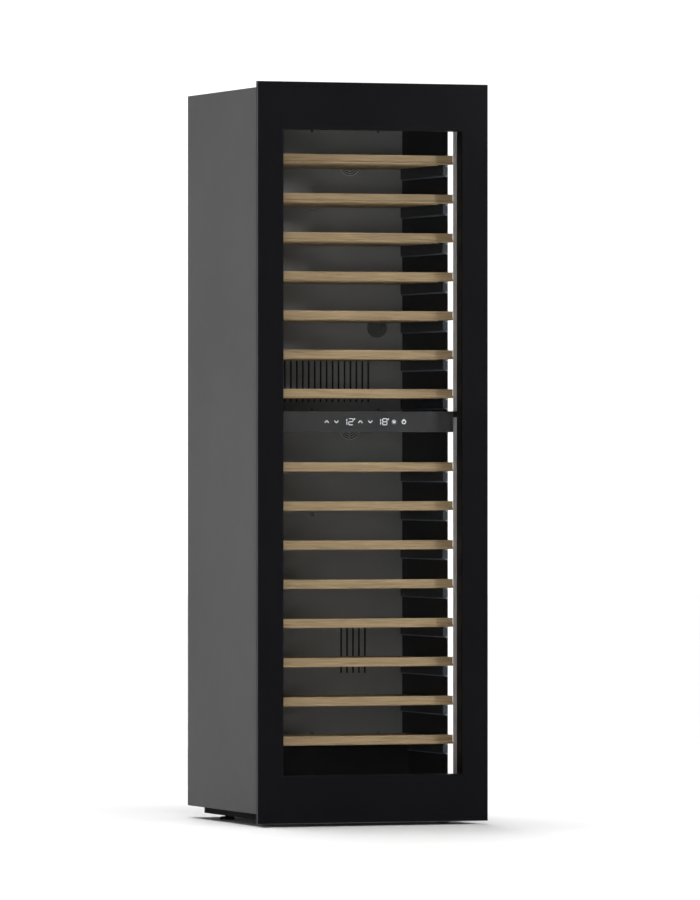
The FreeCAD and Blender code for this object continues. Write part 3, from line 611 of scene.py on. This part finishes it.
def dress(node: str, finish: str, bevel: float = 0.0) -> None:
    """Give a CAD node its finish and, where wanted, softened edges.

    Args:
        node: The CAD node's name.
        finish: The finish's name.
        bevel: Width of the softened edges in metres.
    """
    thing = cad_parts[node]
    if not thing.material_slots:
        thing.data.materials.append(None)
    for place in thing.material_slots:
        place.material = PALETTE[finish]
    if bevel:
        edges = thing.modifiers.new("soft_edges", "BEVEL")
        edges.width = bevel
        edges.segments = 2
        edges.limit_method = "ANGLE"
        edges.angle_limit = math.radians(40)
    LOG.info("dressed %s in %s", node, finish)


def screw_head(shape: Shape, centre: Point, along: Axis, out: int, radius: float, height: float) -> None:
    """Add a domed screw head with a six-sided socket.

    Args:
        shape: The mesh it is added to.
        centre: Middle of its seat.
        along: The screw's axis.
        out: 1 if the head stands out along the axis, -1 if against it.
        radius: Its radius.
        height: Its height.
    """
    profile = [(0.0, 0.0), (radius, 0.0), (radius, 0.35 * height), (0.86 * radius, 0.78 * height),
               (0.6 * radius, height), (0.46 * radius, height), (0.42 * radius, 0.3 * height),
               (0.0, 0.3 * height)]
    shape.lathe([(r, out * level) for r, level in profile], centre, along, 24, False, 6, (5, 6))


# ---------------------------------------------------------------- door
@dataclass
class Door:
    """Black-bordered front glass with its clear window, edge trim, frame, panes and seal."""

    side_border: float = 65.7 * MM
    end_border: float = 114.2 * MM
    polish: float = 0.6 * MM
    seal_fins: tuple[Flat, ...] = ((0, 0), (0, 1.5), (3, 2.2), (5, 4.4), (4, 6.0), (5.5, 7.7), (16.5, 7.7),
                                   (18, 6.0), (17, 4.4), (19, 2.2), (22, 1.5), (22, 0))

    def build(self) -> None:
        """Make the glass and the seal, and dress the rest."""
        self.make_glass()
        self.make_seal()
        dress("door_edge_trim", "edge_metal", 0.3 * MM)
        dress("door_frame", "frame_black", 0.6 * MM)
        dress("glass_spacer", "frame_black")
        dress("door_inner_pane", "inner_glass")
        dress("hinge_brackets", "hinge_steel", 0.5 * MM)

    def make_glass(self) -> None:
        """A black ring with polished edges, and the clear window inside it."""
        low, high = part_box("door_glass")
        front, back, edge = low.y, high.y, self.polish
        side, end = self.side_border, self.end_border
        ring = Shape()
        ring.surround([((0, 0), back), ((0, 0), front + edge), ((edge, edge), front),
                       ((side, end), front), ((side, end), back)], high.x, low.z, high.z)
        ring.piece("door_glass_border", "border_glass", "door", "door_glass", "door_glass")
        pane = Shape()
        pane.block((-high.x + side, front + 0.05 * MM, low.z + end), (high.x - side, back, high.z - end))
        pane.rounded(0.2 * MM, 1)
        pane.piece("door_glass_window", "clear_pane", "door", "door_glass", "door_glass")

    def make_seal(self) -> None:
        """A finned magnetic seal whose profile runs round the door's back."""
        low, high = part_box("door_gasket")
        seal = Shape()
        seal.surround([((inset * MM, inset * MM), low.y + rise * MM) for inset, rise in self.seal_fins],
                      high.x, low.z, high.z)
        seal.piece("door_seal", "seal_rubber", "door", "gasket_rubber", "door_gasket")


# ---------------------------------------------------------------- shelves
@dataclass
class Shelf:
    """A pull-out shelf of oiled wood on two steel slides, or the rack on the floor.

    Attributes:
        node: The CAD node it stands for.
        body: The CAD body it moves with.
    """

    node: str
    body: str
    rail_depth: float = 20 * MM
    rail_height: float = 22 * MM
    lip_height: float = 6.7 * MM
    lip_proud: float = 2.5 * MM
    side_width: float = 16 * MM
    side_inset: float = 4 * MM
    side_height: float = 14 * MM
    side_drop: float = 6 * MM
    slat_width: float = 30 * MM
    slat_height: float = 9 * MM
    slat_drop: float = 14 * MM
    slat_start: float = 50 * MM
    slat_pitch: float = 52 * MM
    back_rail: float = 14 * MM
    cradle_pitch: float = 75.5 * MM
    cradle_radius: float = 39 * MM
    cradle_depth: float = 6 * MM
    cradles: int = 6
    tongue: float = 1.7 * MM
    slide_setback: float = 2 * MM
    slide_back_gap: float = 10 * MM
    slide_fold: float = 4.9 * MM
    slide_web: float = 7 * MM
    tongue_height: float = 20.4 * MM
    slide_round: float = 0.5 * MM
    soft: float = 1.1 * MM

    def build(self) -> None:
        """Make the shelf's wood and its slides."""
        low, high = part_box(self.node)
        rack = self.node == "floor_rack"
        half = high.x if rack else high.x - self.tongue
        top = high.z
        inner = half - self.side_width - (0 if rack else self.side_inset)
        self.make_crosspieces(low.y, high.y, half, inner, low.z, top, rack)
        self.make_sides(low.y, high.y, inner, low.z, top, rack)
        if not rack:
            self.make_slides(high, top)

    def make_crosspieces(self, front: float, back: float, half: float, inner: float, floor: float,
                         top: float, rack: bool) -> None:
        """The front rail, the cradled slats and the back rail, whose fibres run across.

        Args:
            front: Y of the lip's front.
            back: Y of the shelf's back.
            half: Half the front rail's width.
            inner: Half the slats' width.
            floor: Lowest Z, used by the rack.
            top: Z of the front rail's top.
            rack: True for the rack on the floor.
        """
        foot = floor if rack else top - self.rail_height
        wood = Shape()
        lip, proud, rail = self.lip_height, self.lip_proud, front + self.rail_depth
        wood.prism([(front, foot), (rail, foot), (rail, top), (front + proud, top),
                    (front + proud, foot + lip), (front, foot + lip - proud)], Axis.X, -half, half)
        slat_low = floor if rack else top - self.slat_drop - self.slat_height
        y = front + self.slat_start
        while y + self.slat_width < back:
            wood.prism(self.slat_outline(inner, slat_low), Axis.Y, y, y + self.slat_width)
            y += self.slat_pitch
        if not rack:
            wood.block((-inner, back - self.back_rail, top - self.side_drop - self.side_height),
                       (inner, back, top - self.side_drop))
        wood.rounded(self.soft)
        wood.piece(self.node + "_boards", "beech_across", self.body, "oak", self.node)

    def slat_outline(self, inner: float, low: float) -> list[Flat]:
        """The front view of a slat with a shallow round cradle for each bottle.

        Args:
            inner: Half its width.
            low: Z of its underside.

        Returns:
            The corners as X and Z.
        """
        top = low + self.slat_height
        outline = [(-inner, low), (inner, low), (inner, top)]
        middle = top - self.cradle_depth + self.cradle_radius
        reach = math.acos((middle - top) / self.cradle_radius)
        for number in reversed(range(self.cradles)):
            x = self.cradle_pitch * (number - (self.cradles - 1) / 2)
            for step in range(9):
                turn = reach * (1 - step / 4)
                outline.append((x + self.cradle_radius * math.sin(turn),
                                middle - self.cradle_radius * math.cos(turn)))
        outline.append((-inner, top))
        return outline

    def make_sides(self, front: float, back: float, inner: float, floor: float, top: float,
                   rack: bool) -> None:
        """The two side rails, whose fibres run from front to back."""
        low = floor if rack else top - self.side_drop - self.side_height
        high = floor + self.slat_height if rack else top - self.side_drop
        sides = Shape()
        for x in (-inner - self.side_width, inner):
            sides.block((x, front + self.rail_depth, low), (x + self.side_width, back, high))
        sides.rounded(self.soft)
        sides.piece(self.node + "_sides", "beech_deep", self.body, "oak", self.node)

    def make_slides(self, high: Vector, top: float) -> None:
        """The two folded steel slides under the side rails, in the runners' steel darkened as painted shade.

        Args:
            high: The shelf's highest corner, whose X is the tongues' tip.
            top: Z of the front rail's top.
        """
        slides = Shape()
        web = (high.x - self.slide_fold - self.slide_web, high.x - self.slide_fold)
        z = (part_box(self.node)[0].z, top - self.side_drop - self.side_height)
        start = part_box("shelf_runners")[0].y + self.slide_setback
        end = high.y - self.slide_back_gap
        step = z[0] + self.tongue_height
        for side in (-1, 1):
            outline = [(side * web[0], z[0]), (side * high.x, z[0]), (side * high.x, step),
                       (side * web[1], step), (side * web[1], z[1]), (side * web[0], z[1])]
            slides.prism(outline, Axis.Y, start, end)
        slides.rounded(self.slide_round)
        slides.piece(self.node + "_slides", "slide_steel_painted_shade", self.body, "runner_steel", self.node)


# ---------------------------------------------------------------- control unit
@dataclass
class ControlUnit:
    """Touch glass on the divider, with thin lit signs and two numbers on its surface."""

    stroke: float = 1.5 * MM
    thick: float = 0.12 * MM
    digit_width: float = 11 * MM
    digit_height: float = 15 * MM
    digit_gap: float = 5 * MM
    digit_shift: float = 2 * MM
    corner_gap: float = 0.35 * MM
    arrow_half: float = 5.5 * MM
    arrow_rise: float = 3.2 * MM
    arrows: tuple[tuple[float, int], ...] = ((-94.5, 1), (-69.5, -1), (-7.5, 1), (18.5, -1))
    displays: tuple[tuple[float, str], ...] = ((-38.0, "12"), (50.0, "18"))
    lamp_at: float = 80.0
    power_at: float = 105.5
    segments: tuple[tuple[str, str], ...] = (("1", "bc"), ("2", "abged"), ("8", "abcdefg"))

    def build(self) -> None:
        """Dress the unit and make its signs."""
        dress("control_glass", "touch_glass", 0.4 * MM)
        dress("control_housing", "control_black")
        low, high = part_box("control_glass")
        self.y = low.y
        self.middle = (low.z + high.z) / 2
        signs = Shape()
        for x, way in self.arrows:
            self.arrow(signs, x * MM, way)
        for x, digits in self.displays:
            self.number(signs, x * MM, digits)
        self.lamp(signs, self.lamp_at * MM)
        self.power(signs, self.power_at * MM)
        signs.piece("control_signs", "sign_light", "cabinet", "touch_glass")

    def bar(self, shape: Shape, start: Flat, end: Flat, width: float) -> None:
        """Add a thin straight bar with tapered ends on the glass.

        Args:
            shape: The mesh it is added to.
            start: Its first end as X and Z.
            end: Its other end.
            width: Its width.
        """
        run = Vector((end[0] - start[0], end[1] - start[1]))
        way = run.normalized()
        side = Vector((-way.y, way.x)) * width / 2
        tip = way * width / 2
        a, b = Vector(start), Vector(end)
        corners = [a, a + tip + side, b - tip + side, b, b - tip - side, a + tip - side]
        shape.prism([tuple(corner) for corner in corners], Axis.Y, self.y - self.thick, self.y + self.thick)

    def arrow(self, shape: Shape, x: float, way: int) -> None:
        """Add an open arrow that points up for 1 and down for -1."""
        half, rise = self.arrow_half, self.arrow_rise * way
        tip = (x, self.middle + rise)
        for side in (-1, 1):
            self.bar(shape, (x + side * half, self.middle - rise), tip, self.stroke)

    def number(self, shape: Shape, x: float, digits: str) -> None:
        """Add a two-digit number made of seven-segment digits, with a degree ring after it."""
        width, height = self.digit_width, self.digit_height
        for place, digit in enumerate(digits):
            left = x - width - self.digit_gap / 2 - self.digit_shift + place * (width + self.digit_gap)
            low, mid, top = self.middle - height / 2, self.middle, self.middle + height / 2
            right = left + width
            runs = {"a": ((left, top), (right, top)), "g": ((left, mid), (right, mid)),
                    "d": ((left, low), (right, low)), "f": ((left, mid), (left, top)),
                    "b": ((right, mid), (right, top)), "e": ((left, low), (left, mid)),
                    "c": ((right, low), (right, mid))}
            for letter in dict(self.segments)[digit]:
                start, end = (Vector(point) for point in runs[letter])
                inward = (end - start).normalized() * self.corner_gap
                self.bar(shape, tuple(start + inward), tuple(end - inward), self.stroke)
        self.ring(shape, x + width + self.digit_gap / 2 + 1.5 * MM, self.middle + height / 2 - 1 * MM,
                  1.0 * MM, 1.9 * MM)

    def ring(self, shape: Shape, x: float, z: float, inner: float, outer: float) -> None:
        """Add a flat ring."""
        profile = [(inner, -self.thick), (outer, -self.thick), (outer, self.thick), (inner, self.thick)]
        shape.lathe(profile, (x, self.y, z), Axis.Y, 24, closed=True)

    def lamp(self, shape: Shape, x: float) -> None:
        """Add the light's sign: a ring with short rays."""
        self.ring(shape, x, self.middle, 1.6 * MM, 3.2 * MM)
        for number in range(8):
            turn = math.pi * number / 4
            way = Vector((math.cos(turn), math.sin(turn)))
            start, end = (Vector((x, self.middle)) + way * reach * MM for reach in (3.9, 6.0))
            self.bar(shape, tuple(start), tuple(end), 1.2 * MM)

    def power(self, shape: Shape, x: float) -> None:
        """Add the mains sign: a ring with an upright bar in its top."""
        self.ring(shape, x, self.middle, 3.9 * MM, 5.6 * MM)
        self.bar(shape, (x, self.middle + 0.5 * MM), (x, self.middle + 7.5 * MM), self.stroke)


# ---------------------------------------------------------------- air system
@dataclass
class Fan:
    """A bladed wheel on an axis along +Y.

    Attributes:
        node: The CAD node it stands for.
        body: The CAD body it turns with.
        bore: Radius of the hole for the shaft.
        blades: How many blades it has.
        tip_share: Share of the CAD wheel's radius that the blades reach.
        hub_share: The hub's share of the blades' radius.
        sweep: Turn in radians of a blade's tip behind its root.
        chord_turn: Turn in radians that a blade covers from front to back at its root.
        chord_loss: How much less that is at its tip.
    """

    node: str
    body: str
    bore: float = 2.1 * MM
    blades: int = 7
    tip_share: float = 0.985
    hub_share: float = 0.33
    sweep: float = 0.35
    chord_turn: float = 0.62
    chord_loss: float = 0.1

    def build(self) -> None:
        """Make a capped hub and curved, pitched blades."""
        low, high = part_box(self.node)
        centre = ((low.x + high.x) / 2, low.y, (low.z + high.z) / 2)
        radius, depth = (high.x - low.x) / 2 * self.tip_share, high.y - low.y
        hub = radius * self.hub_share
        wheel = Shape()
        wheel.lathe([(0.0, 0.0), (0.7 * hub, 0.0), (hub, 0.12 * depth), (hub, depth), (self.bore, depth),
                     (self.bore, 0.3 * depth), (0.0, 0.3 * depth)], centre, Axis.Y, 40)
        for number in range(self.blades):
            self.blade(wheel, centre, 0.9 * hub, radius, depth, 2 * math.pi * number / self.blades)
        wheel.piece(self.node + "_wheel", "fan_black", self.body, "fan_plastic", self.node)

    def blade(self, shape: Shape, centre: Point, hub: float, tip: float, depth: float, start: float) -> None:
        """Add one blade: a thin skin swept back towards its tip.

        Args:
            shape: The mesh it is added to.
            centre: The hub's front.
            hub: Radius where the blade starts.
            tip: Radius where it ends.
            depth: The wheel's depth.
            start: Turn of the blade's root.
        """
        across, deep, thick = 6, 5, 0.07 * depth
        skins = []
        for offset in (0.0, thick):
            rows = []
            for n in range(across + 1):
                share = n / across
                radius = hub + (tip - hub) * share
                row = []
                for m in range(deep + 1):
                    chord = m / deep
                    turn = start + self.sweep * share * share
                    turn += (self.chord_turn - self.chord_loss * share) * chord
                    y = centre[1] + depth * (0.14 + 0.7 * chord - 0.08 * math.sin(math.pi * chord)) + offset
                    row.append(shape.bm.verts.new((centre[0] + radius * math.cos(turn), y,
                                                   centre[2] + radius * math.sin(turn))))
                rows.append(row)
            for n in range(across):
                for m in range(deep):
                    shape.bm.faces.new((rows[n][m], rows[n + 1][m], rows[n + 1][m + 1], rows[n][m + 1]))
            skins.append(rows)
        rims = [[row[0] for row in rows] + rows[-1][1:] + [row[-1] for row in rows[-2::-1]]
                + rows[0][-2:0:-1] for rows in skins]
        shape.bridge(rims[0], rims[1])


@dataclass
class AirSystem:
    """Duct panels with wire guards and screws, fans, coils, sensors and the filter."""

    wire: float = 1.1 * MM
    ring_radii: tuple[float, ...] = (9.75, 15.25, 20.75, 26.0)
    filter_rings: int = 4
    screw_radius: float = 3.5 * MM

    def build(self) -> None:
        """Make and dress everything that moves or guides the air."""
        for node in ("duct_panel_upper", "duct_panel_lower"):
            dress(node, "duct_paint", 0.3 * MM)
        dress("evaporators", "coil_aluminium")
        dress("condenser", "coil_aluminium")
        dress("fan_motors", "fan_black", 0.4 * MM)
        fans = ["fan_upper_left", "fan_upper_right", "fan_lower_left", "fan_lower_right"]
        for name in fans + ["condenser_fan"]:
            Fan(name, name + "_body").build()
        self.make_guards(fans)
        self.make_screws()
        self.make_filter()
        self.make_sensors()

    def make_guards(self, fans: list[str]) -> None:
        """Bright wire rings on the panels in front of the fans, matt near-white: painted sheen in place of
        the metal's reflections.
        """
        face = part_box("duct_panel_upper")[0].y - self.wire
        guards = Shape()
        for fan in fans:
            low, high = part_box(fan)
            x, z = (low.x + high.x) / 2, (low.z + high.z) / 2
            for radius in self.ring_radii:
                circle = [(radius * MM + self.wire * math.cos(turn), self.wire * math.sin(turn))
                          for turn in (math.pi * n / 5 for n in range(10))]
                guards.lathe(circle, (x, face, z), Axis.Y, 48, closed=True)
        guards.piece("fan_guards", "guard_wire_painted_sheen", "cabinet", "screw_steel")

    def make_screws(self) -> None:
        """Domed screws of the duct panels, one in each place where the CAD frame has one."""
        low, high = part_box("panel_screws")
        heads: list[list[Vector]] = []
        for corner in (vertex.co.copy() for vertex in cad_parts["panel_screws"].data.vertices):
            same = [head for head in heads if (corner.xz - head[0].xz).length < 2.2 * self.screw_radius]
            if same:
                same[0].append(corner)
            else:
                heads.append([corner])
        screws = Shape()
        for corners in heads:
            x = (min(corner.x for corner in corners) + max(corner.x for corner in corners)) / 2
            z = (min(corner.z for corner in corners) + max(corner.z for corner in corners)) / 2
            screw_head(screws, (x, high.y, z), Axis.Y, -1, self.screw_radius, high.y - low.y)
        screws.piece("duct_screws", "screw_steel", "cabinet", "screw_steel", "panel_screws")

    def make_filter(self) -> None:
        """The charcoal filter's round cap, with a ribbed face."""
        low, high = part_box("charcoal_filter")
        radius, depth = (high.x - low.x) / 2, high.y - low.y
        profile = [(0.0, 0.0), (radius, 0.0), (radius, -0.8 * depth), (0.94 * radius, -depth)]
        for number in range(self.filter_rings):
            share = 0.86 - 0.18 * number
            profile += [(share * radius, -depth), ((share - 0.03) * radius, -0.7 * depth),
                        ((share - 0.08) * radius, -0.7 * depth), ((share - 0.11) * radius, -depth)]
        profile.append((0.0, -depth))
        cap = Shape()
        cap.lathe(profile, ((low.x + high.x) / 2, high.y, (low.z + high.z) / 2), Axis.Y, 48)
        cap.piece("charcoal_filter_cap", "filter_cloth", "cabinet", "filter_fabric", "charcoal_filter")

    def make_sensors(self) -> None:
        """Two round-nosed air sensors with a collar at the panel."""
        low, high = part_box("air_sensors")
        radius, length = (high.x - low.x) / 2, high.y - low.y
        sensors = Shape()
        for z in (low.z + radius, high.z - radius):
            profile = [(0.0, 0.0), (radius, 0.0), (radius, -0.15 * length), (0.8 * radius, -0.2 * length)]
            profile += [(0.8 * radius * math.cos(turn), -length + 0.8 * radius * (1 - math.sin(turn)))
                        for turn in (math.pi / 2 * n / 5 for n in range(6))]
            profile[-1] = (0.0, -length)
            sensors.lathe(profile, (0.0, high.y, z), Axis.Y, 24)
        sensors.piece("air_sensor_probes", "sensor_white", "cabinet", "sensor_plastic", "air_sensors")


# ---------------------------------------------------------------- cabinet
@dataclass
class Cabinet:
    """Outer sheets, front frame, liner, back with a raised field, plinth and lighting."""

    field_inset: float = 60 * MM
    field_rise: float = 0.6 * MM
    field_slope: float = 2 * MM
    screw_radius: float = 4 * MM
    screw_height: float = 1.0 * MM
    screws_up: int = 6
    screw_end_gap: float = 25 * MM
    screw_side_gap: float = 14 * MM

    def build(self) -> None:
        """Dress the sheets and make the back."""
        for node in ("casing_left", "casing_right", "casing_top"):
            dress(node, "cabinet_paint", 0.6 * MM)
        dress("front_frame", "frame_black", 0.5 * MM)
        for node in ("liner", "zone_divider"):
            dress(node, "liner_black")
        dress("insulation", "foam")
        dress("compressor_cover", "rear_zinc")
        dress("base_tray", "rear_zinc")
        dress("plinth_channel", "plinth_paint", 0.4 * MM)
        dress("light_strips", "strip_light", 0.8 * MM)
        dress("light_profiles", "profile_metal", 0.5 * MM)
        dress("shelf_runners", "runner_steel")
        self.make_back()

    def make_back(self) -> None:
        """A sheet stiffened by a raised rectangular field, held by screws along its edges."""
        low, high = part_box("casing_back")
        inset, slope = self.field_inset, self.field_slope
        skin = high.y - self.screw_height
        sheet = Shape()
        rows = []
        for step, y in ((0.0, low.y), (0.0, skin), (inset, skin), (inset + slope, skin + self.field_rise)):
            corners = [(low.x + step, y, low.z + step), (high.x - step, y, low.z + step),
                       (high.x - step, y, high.z - step), (low.x + step, y, high.z - step)]
            rows.append([sheet.bm.verts.new(corner) for corner in corners])
        for near, far in zip(rows, rows[1:]):
            sheet.bridge(near, far)
        sheet.bm.faces.new(rows[0])
        sheet.bm.faces.new(rows[-1])
        sheet.piece("casing_back_sheet", "rear_zinc", "cabinet", "rear_sheet", "casing_back")
        screws = Shape()
        for side in (-1, 1):
            for number in range(self.screws_up):
                run = high.z - low.z - 2 * self.screw_end_gap
                z = low.z + self.screw_end_gap + run * number / (self.screws_up - 1)
                screw_head(screws, (side * (high.x - self.screw_side_gap), skin, z), Axis.Y, 1,
                           self.screw_radius, self.screw_height)
        screws.piece("casing_back_screws", "screw_steel", "cabinet", "screw_steel")


@dataclass
class MachineBay:
    """What sits behind the vented cover at the bottom of the back."""

    band_height: float = 5 * MM
    band_proud: float = 3 * MM
    band_sunk: float = 1 * MM
    band_round: float = 0.8 * MM

    def build(self) -> None:
        """Dress the machine parts and give the compressor its welded seam."""
        dress("compressor", "compressor_black")
        dress("drip_tray", "box_grey", 0.4 * MM)
        dress("power_box", "box_grey", 1.0 * MM)
        dress("mains_inlet", "inlet_black", 0.3 * MM)
        low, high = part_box("compressor")
        centre = ((low.x + high.x) / 2, (low.y + high.y) / 2, (low.z + high.z) / 2)
        radius, half = (high.x - low.x) / 2, self.band_height / 2
        seam = Shape()
        inner, outer = radius - self.band_sunk, radius + self.band_proud
        seam.lathe([(inner, -half), (outer, -half), (outer, half), (inner, half)], centre, Axis.Z, 64, True)
        seam.rounded(self.band_round)
        seam.piece("compressor_seam", "compressor_black", "cabinet", "compressor_paint")


@dataclass
class Foot:
    """A levelling foot: a round pad with softened edges on a ribbed stem.

    Attributes:
        node: The CAD node it stands for.
        body: The CAD body it moves with.
    """

    node: str
    body: str
    pad_height: float = 8 * MM
    stem_radius: float = 5 * MM
    thread_pitch: float = 1.5 * MM
    thread_depth: float = 0.7 * MM

    def build(self) -> None:
        """Turn the foot in one piece."""
        low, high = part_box(self.node)
        pad, height = (high.x - low.x) / 2, high.z - low.z
        centre = ((low.x + high.x) / 2, (low.y + high.y) / 2, low.z)
        profile = [(0.0, 0.0), (0.86 * pad, 0.0), (0.95 * pad, 1 * MM), (pad, 2.5 * MM),
                   (pad, 5 * MM), (0.93 * pad, 6.4 * MM), (0.62 * pad, self.pad_height),
                   (0.55 * pad, self.pad_height)]
        level, root = self.pad_height, self.stem_radius - self.thread_depth
        while level < height - self.thread_pitch:
            profile += [(root, level), (self.stem_radius, level + self.thread_pitch / 2)]
            level += self.thread_pitch
        profile += [(root, height), (0.0, height)]
        foot = Shape()
        foot.lathe(profile, centre, Axis.Z, 36)
        foot.piece(self.node + "_turned", "foot_rubber", self.body, "foot_plastic", self.node)


# ---------------------------------------------------------------- studio
@dataclass
class Studio:
    """Pale floor, white surroundings, soft lights and the camera.

    Attributes:
        camera_place: Where the camera stands.
        camera_turn: Its turn about the upright, in radians.
        lens: Its focal length in millimetres.
        lift: Its upward shift, as a share of the picture's height.
        floor_size: Side of the floor.
        eye_white: Strength of the surroundings behind the cooler.
        dome: Strength of the surroundings on matt surfaces.
        mirror: Strength of the surroundings on glossy surfaces.
        overhead: For each sun, its lean to the side and from behind in degrees, and its strength.
        overhead_blur: Width of each sun in radians.
        key_place: Where the key light stands.
        key_size: Its side.
        key_watts: Its power.
        fill_place: Where the fill light stands.
        fill_size: Its side.
        fill_watts: Its power.
        floor_white: How white the floor is.
        aim: The point that the lights face.
    """

    camera_place: Point = (-6.495, -18.276, 0.8965)
    camera_turn: float = math.radians(-19.69)
    lens: float = 314.7
    lift: float = 0.00778
    floor_size: float = 60.0
    eye_white: float = 1.2
    dome: float = 0.21
    mirror: float = 0.03
    overhead: tuple[tuple[float, float, float], ...] = (
        (0, 0, 0.3), (-8, 10, 0.75), (0, 20, 0.6), (6, 32, 0.55), (0, -18, 0.9))
    overhead_blur: float = math.radians(16)
    key_place: Point = (3.9, -6.7, 2.4)
    key_size: float = 0.9
    key_watts: float = 150.0
    fill_place: Point = (-3.4, -6.6, 1.1)
    fill_size: float = 1.6
    fill_watts: float = 62.0
    floor_white: float = 0.9
    aim: Point = (0.0, 0.0, 0.9)

    def build(self) -> None:
        """Make everything around the cooler."""
        self.make_camera()
        self.make_world()
        self.make_floor()
        self.make_lights()
        settings = bpy.context.scene.view_settings
        settings.view_transform = "Standard"
        settings.look = "None"

    def make_camera(self) -> None:
        """A level camera with a long lens, to the left of the front."""
        data = bpy.data.cameras.new("camera")
        data.lens = self.lens
        data.shift_y = self.lift
        data.clip_end = 1000.0
        camera = bpy.data.objects.new("camera", data)
        camera.location = self.camera_place
        camera.rotation_euler = (math.pi / 2, 0.0, self.camera_turn)
        bpy.context.collection.objects.link(camera)
        bpy.context.scene.camera = camera

    def make_world(self) -> None:
        """White behind the cooler, a soft dome for matt surfaces and a dim one for glossy ones."""
        world = bpy.data.worlds.new("studio")
        world.use_nodes = True
        tree = world.node_tree
        tree.nodes.clear()
        out = tree.nodes.new("ShaderNodeOutputWorld")
        path = tree.nodes.new("ShaderNodeLightPath")
        shells = []
        for strength in (self.dome, self.mirror, self.eye_white):
            shell = tree.nodes.new("ShaderNodeBackground")
            shell.inputs["Strength"].default_value = strength
            shell.inputs["Color"].default_value = (1, 1, 1, 1)
            shells.append(shell)
        last = shells[0]
        for ray, shell in (("Is Glossy Ray", shells[1]), ("Is Camera Ray", shells[2])):
            mix = tree.nodes.new("ShaderNodeMixShader")
            tree.links.new(path.outputs[ray], mix.inputs[0])
            tree.links.new(last.outputs[0], mix.inputs[1])
            tree.links.new(shell.outputs[0], mix.inputs[2])
            last = mix
        tree.links.new(last.outputs[0], out.inputs["Surface"])
        bpy.context.scene.world = world

    def make_floor(self) -> None:
        """A wide pale floor that glossy surfaces don't mirror."""
        data = bpy.data.meshes.new("floor")
        half = self.floor_size / 2
        corners = [(-half, -half, 0), (half, -half, 0), (half, half, 0), (-half, half, 0)]
        data.from_pydata(corners, [], [(0, 1, 2, 3)])
        floor = bpy.data.objects.new("floor", data)
        bpy.context.collection.objects.link(floor)
        material = bpy.data.materials.new("floor_white")
        material.use_nodes = True
        shader = material.node_tree.nodes["Principled BSDF"]
        shader.inputs["Base Color"].default_value = (self.floor_white,) * 3 + (1,)
        shader.inputs["Roughness"].default_value = 0.9
        shader.inputs["Specular IOR Level"].default_value = 0.0
        data.materials.append(material)
        floor.visible_glossy = False

    def make_lights(self) -> None:
        """Wide suns, upright or leaning, with a key at the front right and a fill at the front left."""
        for number, (side, lean, energy) in enumerate(self.overhead):
            data = bpy.data.lights.new("overhead_%d" % number, "SUN")
            data.energy = energy
            data.angle = self.overhead_blur
            light = bpy.data.objects.new(data.name, data)
            light.rotation_euler = (math.radians(-lean), math.radians(side), 0.0)
            bpy.context.collection.objects.link(light)
        self.panel("key", self.key_place, self.key_size, self.key_watts)
        self.panel("fill", self.fill_place, self.fill_size, self.fill_watts)

    def panel(self, name: str, place: Point, size: float, power: float) -> None:
        """A square light panel that faces the cooler's middle.

        Args:
            name: The light's name.
            place: Where it stands.
            size: Its side.
            power: Its power in watts.
        """
        data = bpy.data.lights.new(name, "AREA")
        data.energy = power
        data.size = size
        light = bpy.data.objects.new(name, data)
        light.location = place
        towards = Vector(self.aim) - Vector(place)
        light.rotation_euler = towards.to_track_quat("-Z", "Y").to_euler()
        bpy.context.collection.objects.link(light)


def main() -> None:
    """Build and dress every sub-assembly, then the studio."""
    logging.basicConfig(level=logging.INFO, format="%(name)s: %(message)s")
    Cabinet().build()
    Door().build()
    for number in range(1, 16):
        name = "shelf_%02d" % number
        Shelf(name, name + "_body").build()
    Shelf("floor_rack", "cabinet").build()
    ControlUnit().build()
    AirSystem().build()
    MachineBay().build()
    for name in ("foot_front_left", "foot_front_right", "foot_rear_left", "foot_rear_right"):
        Foot(name, name + "_body").build()
    Studio().build()


if __name__ == "__main__":
    main()
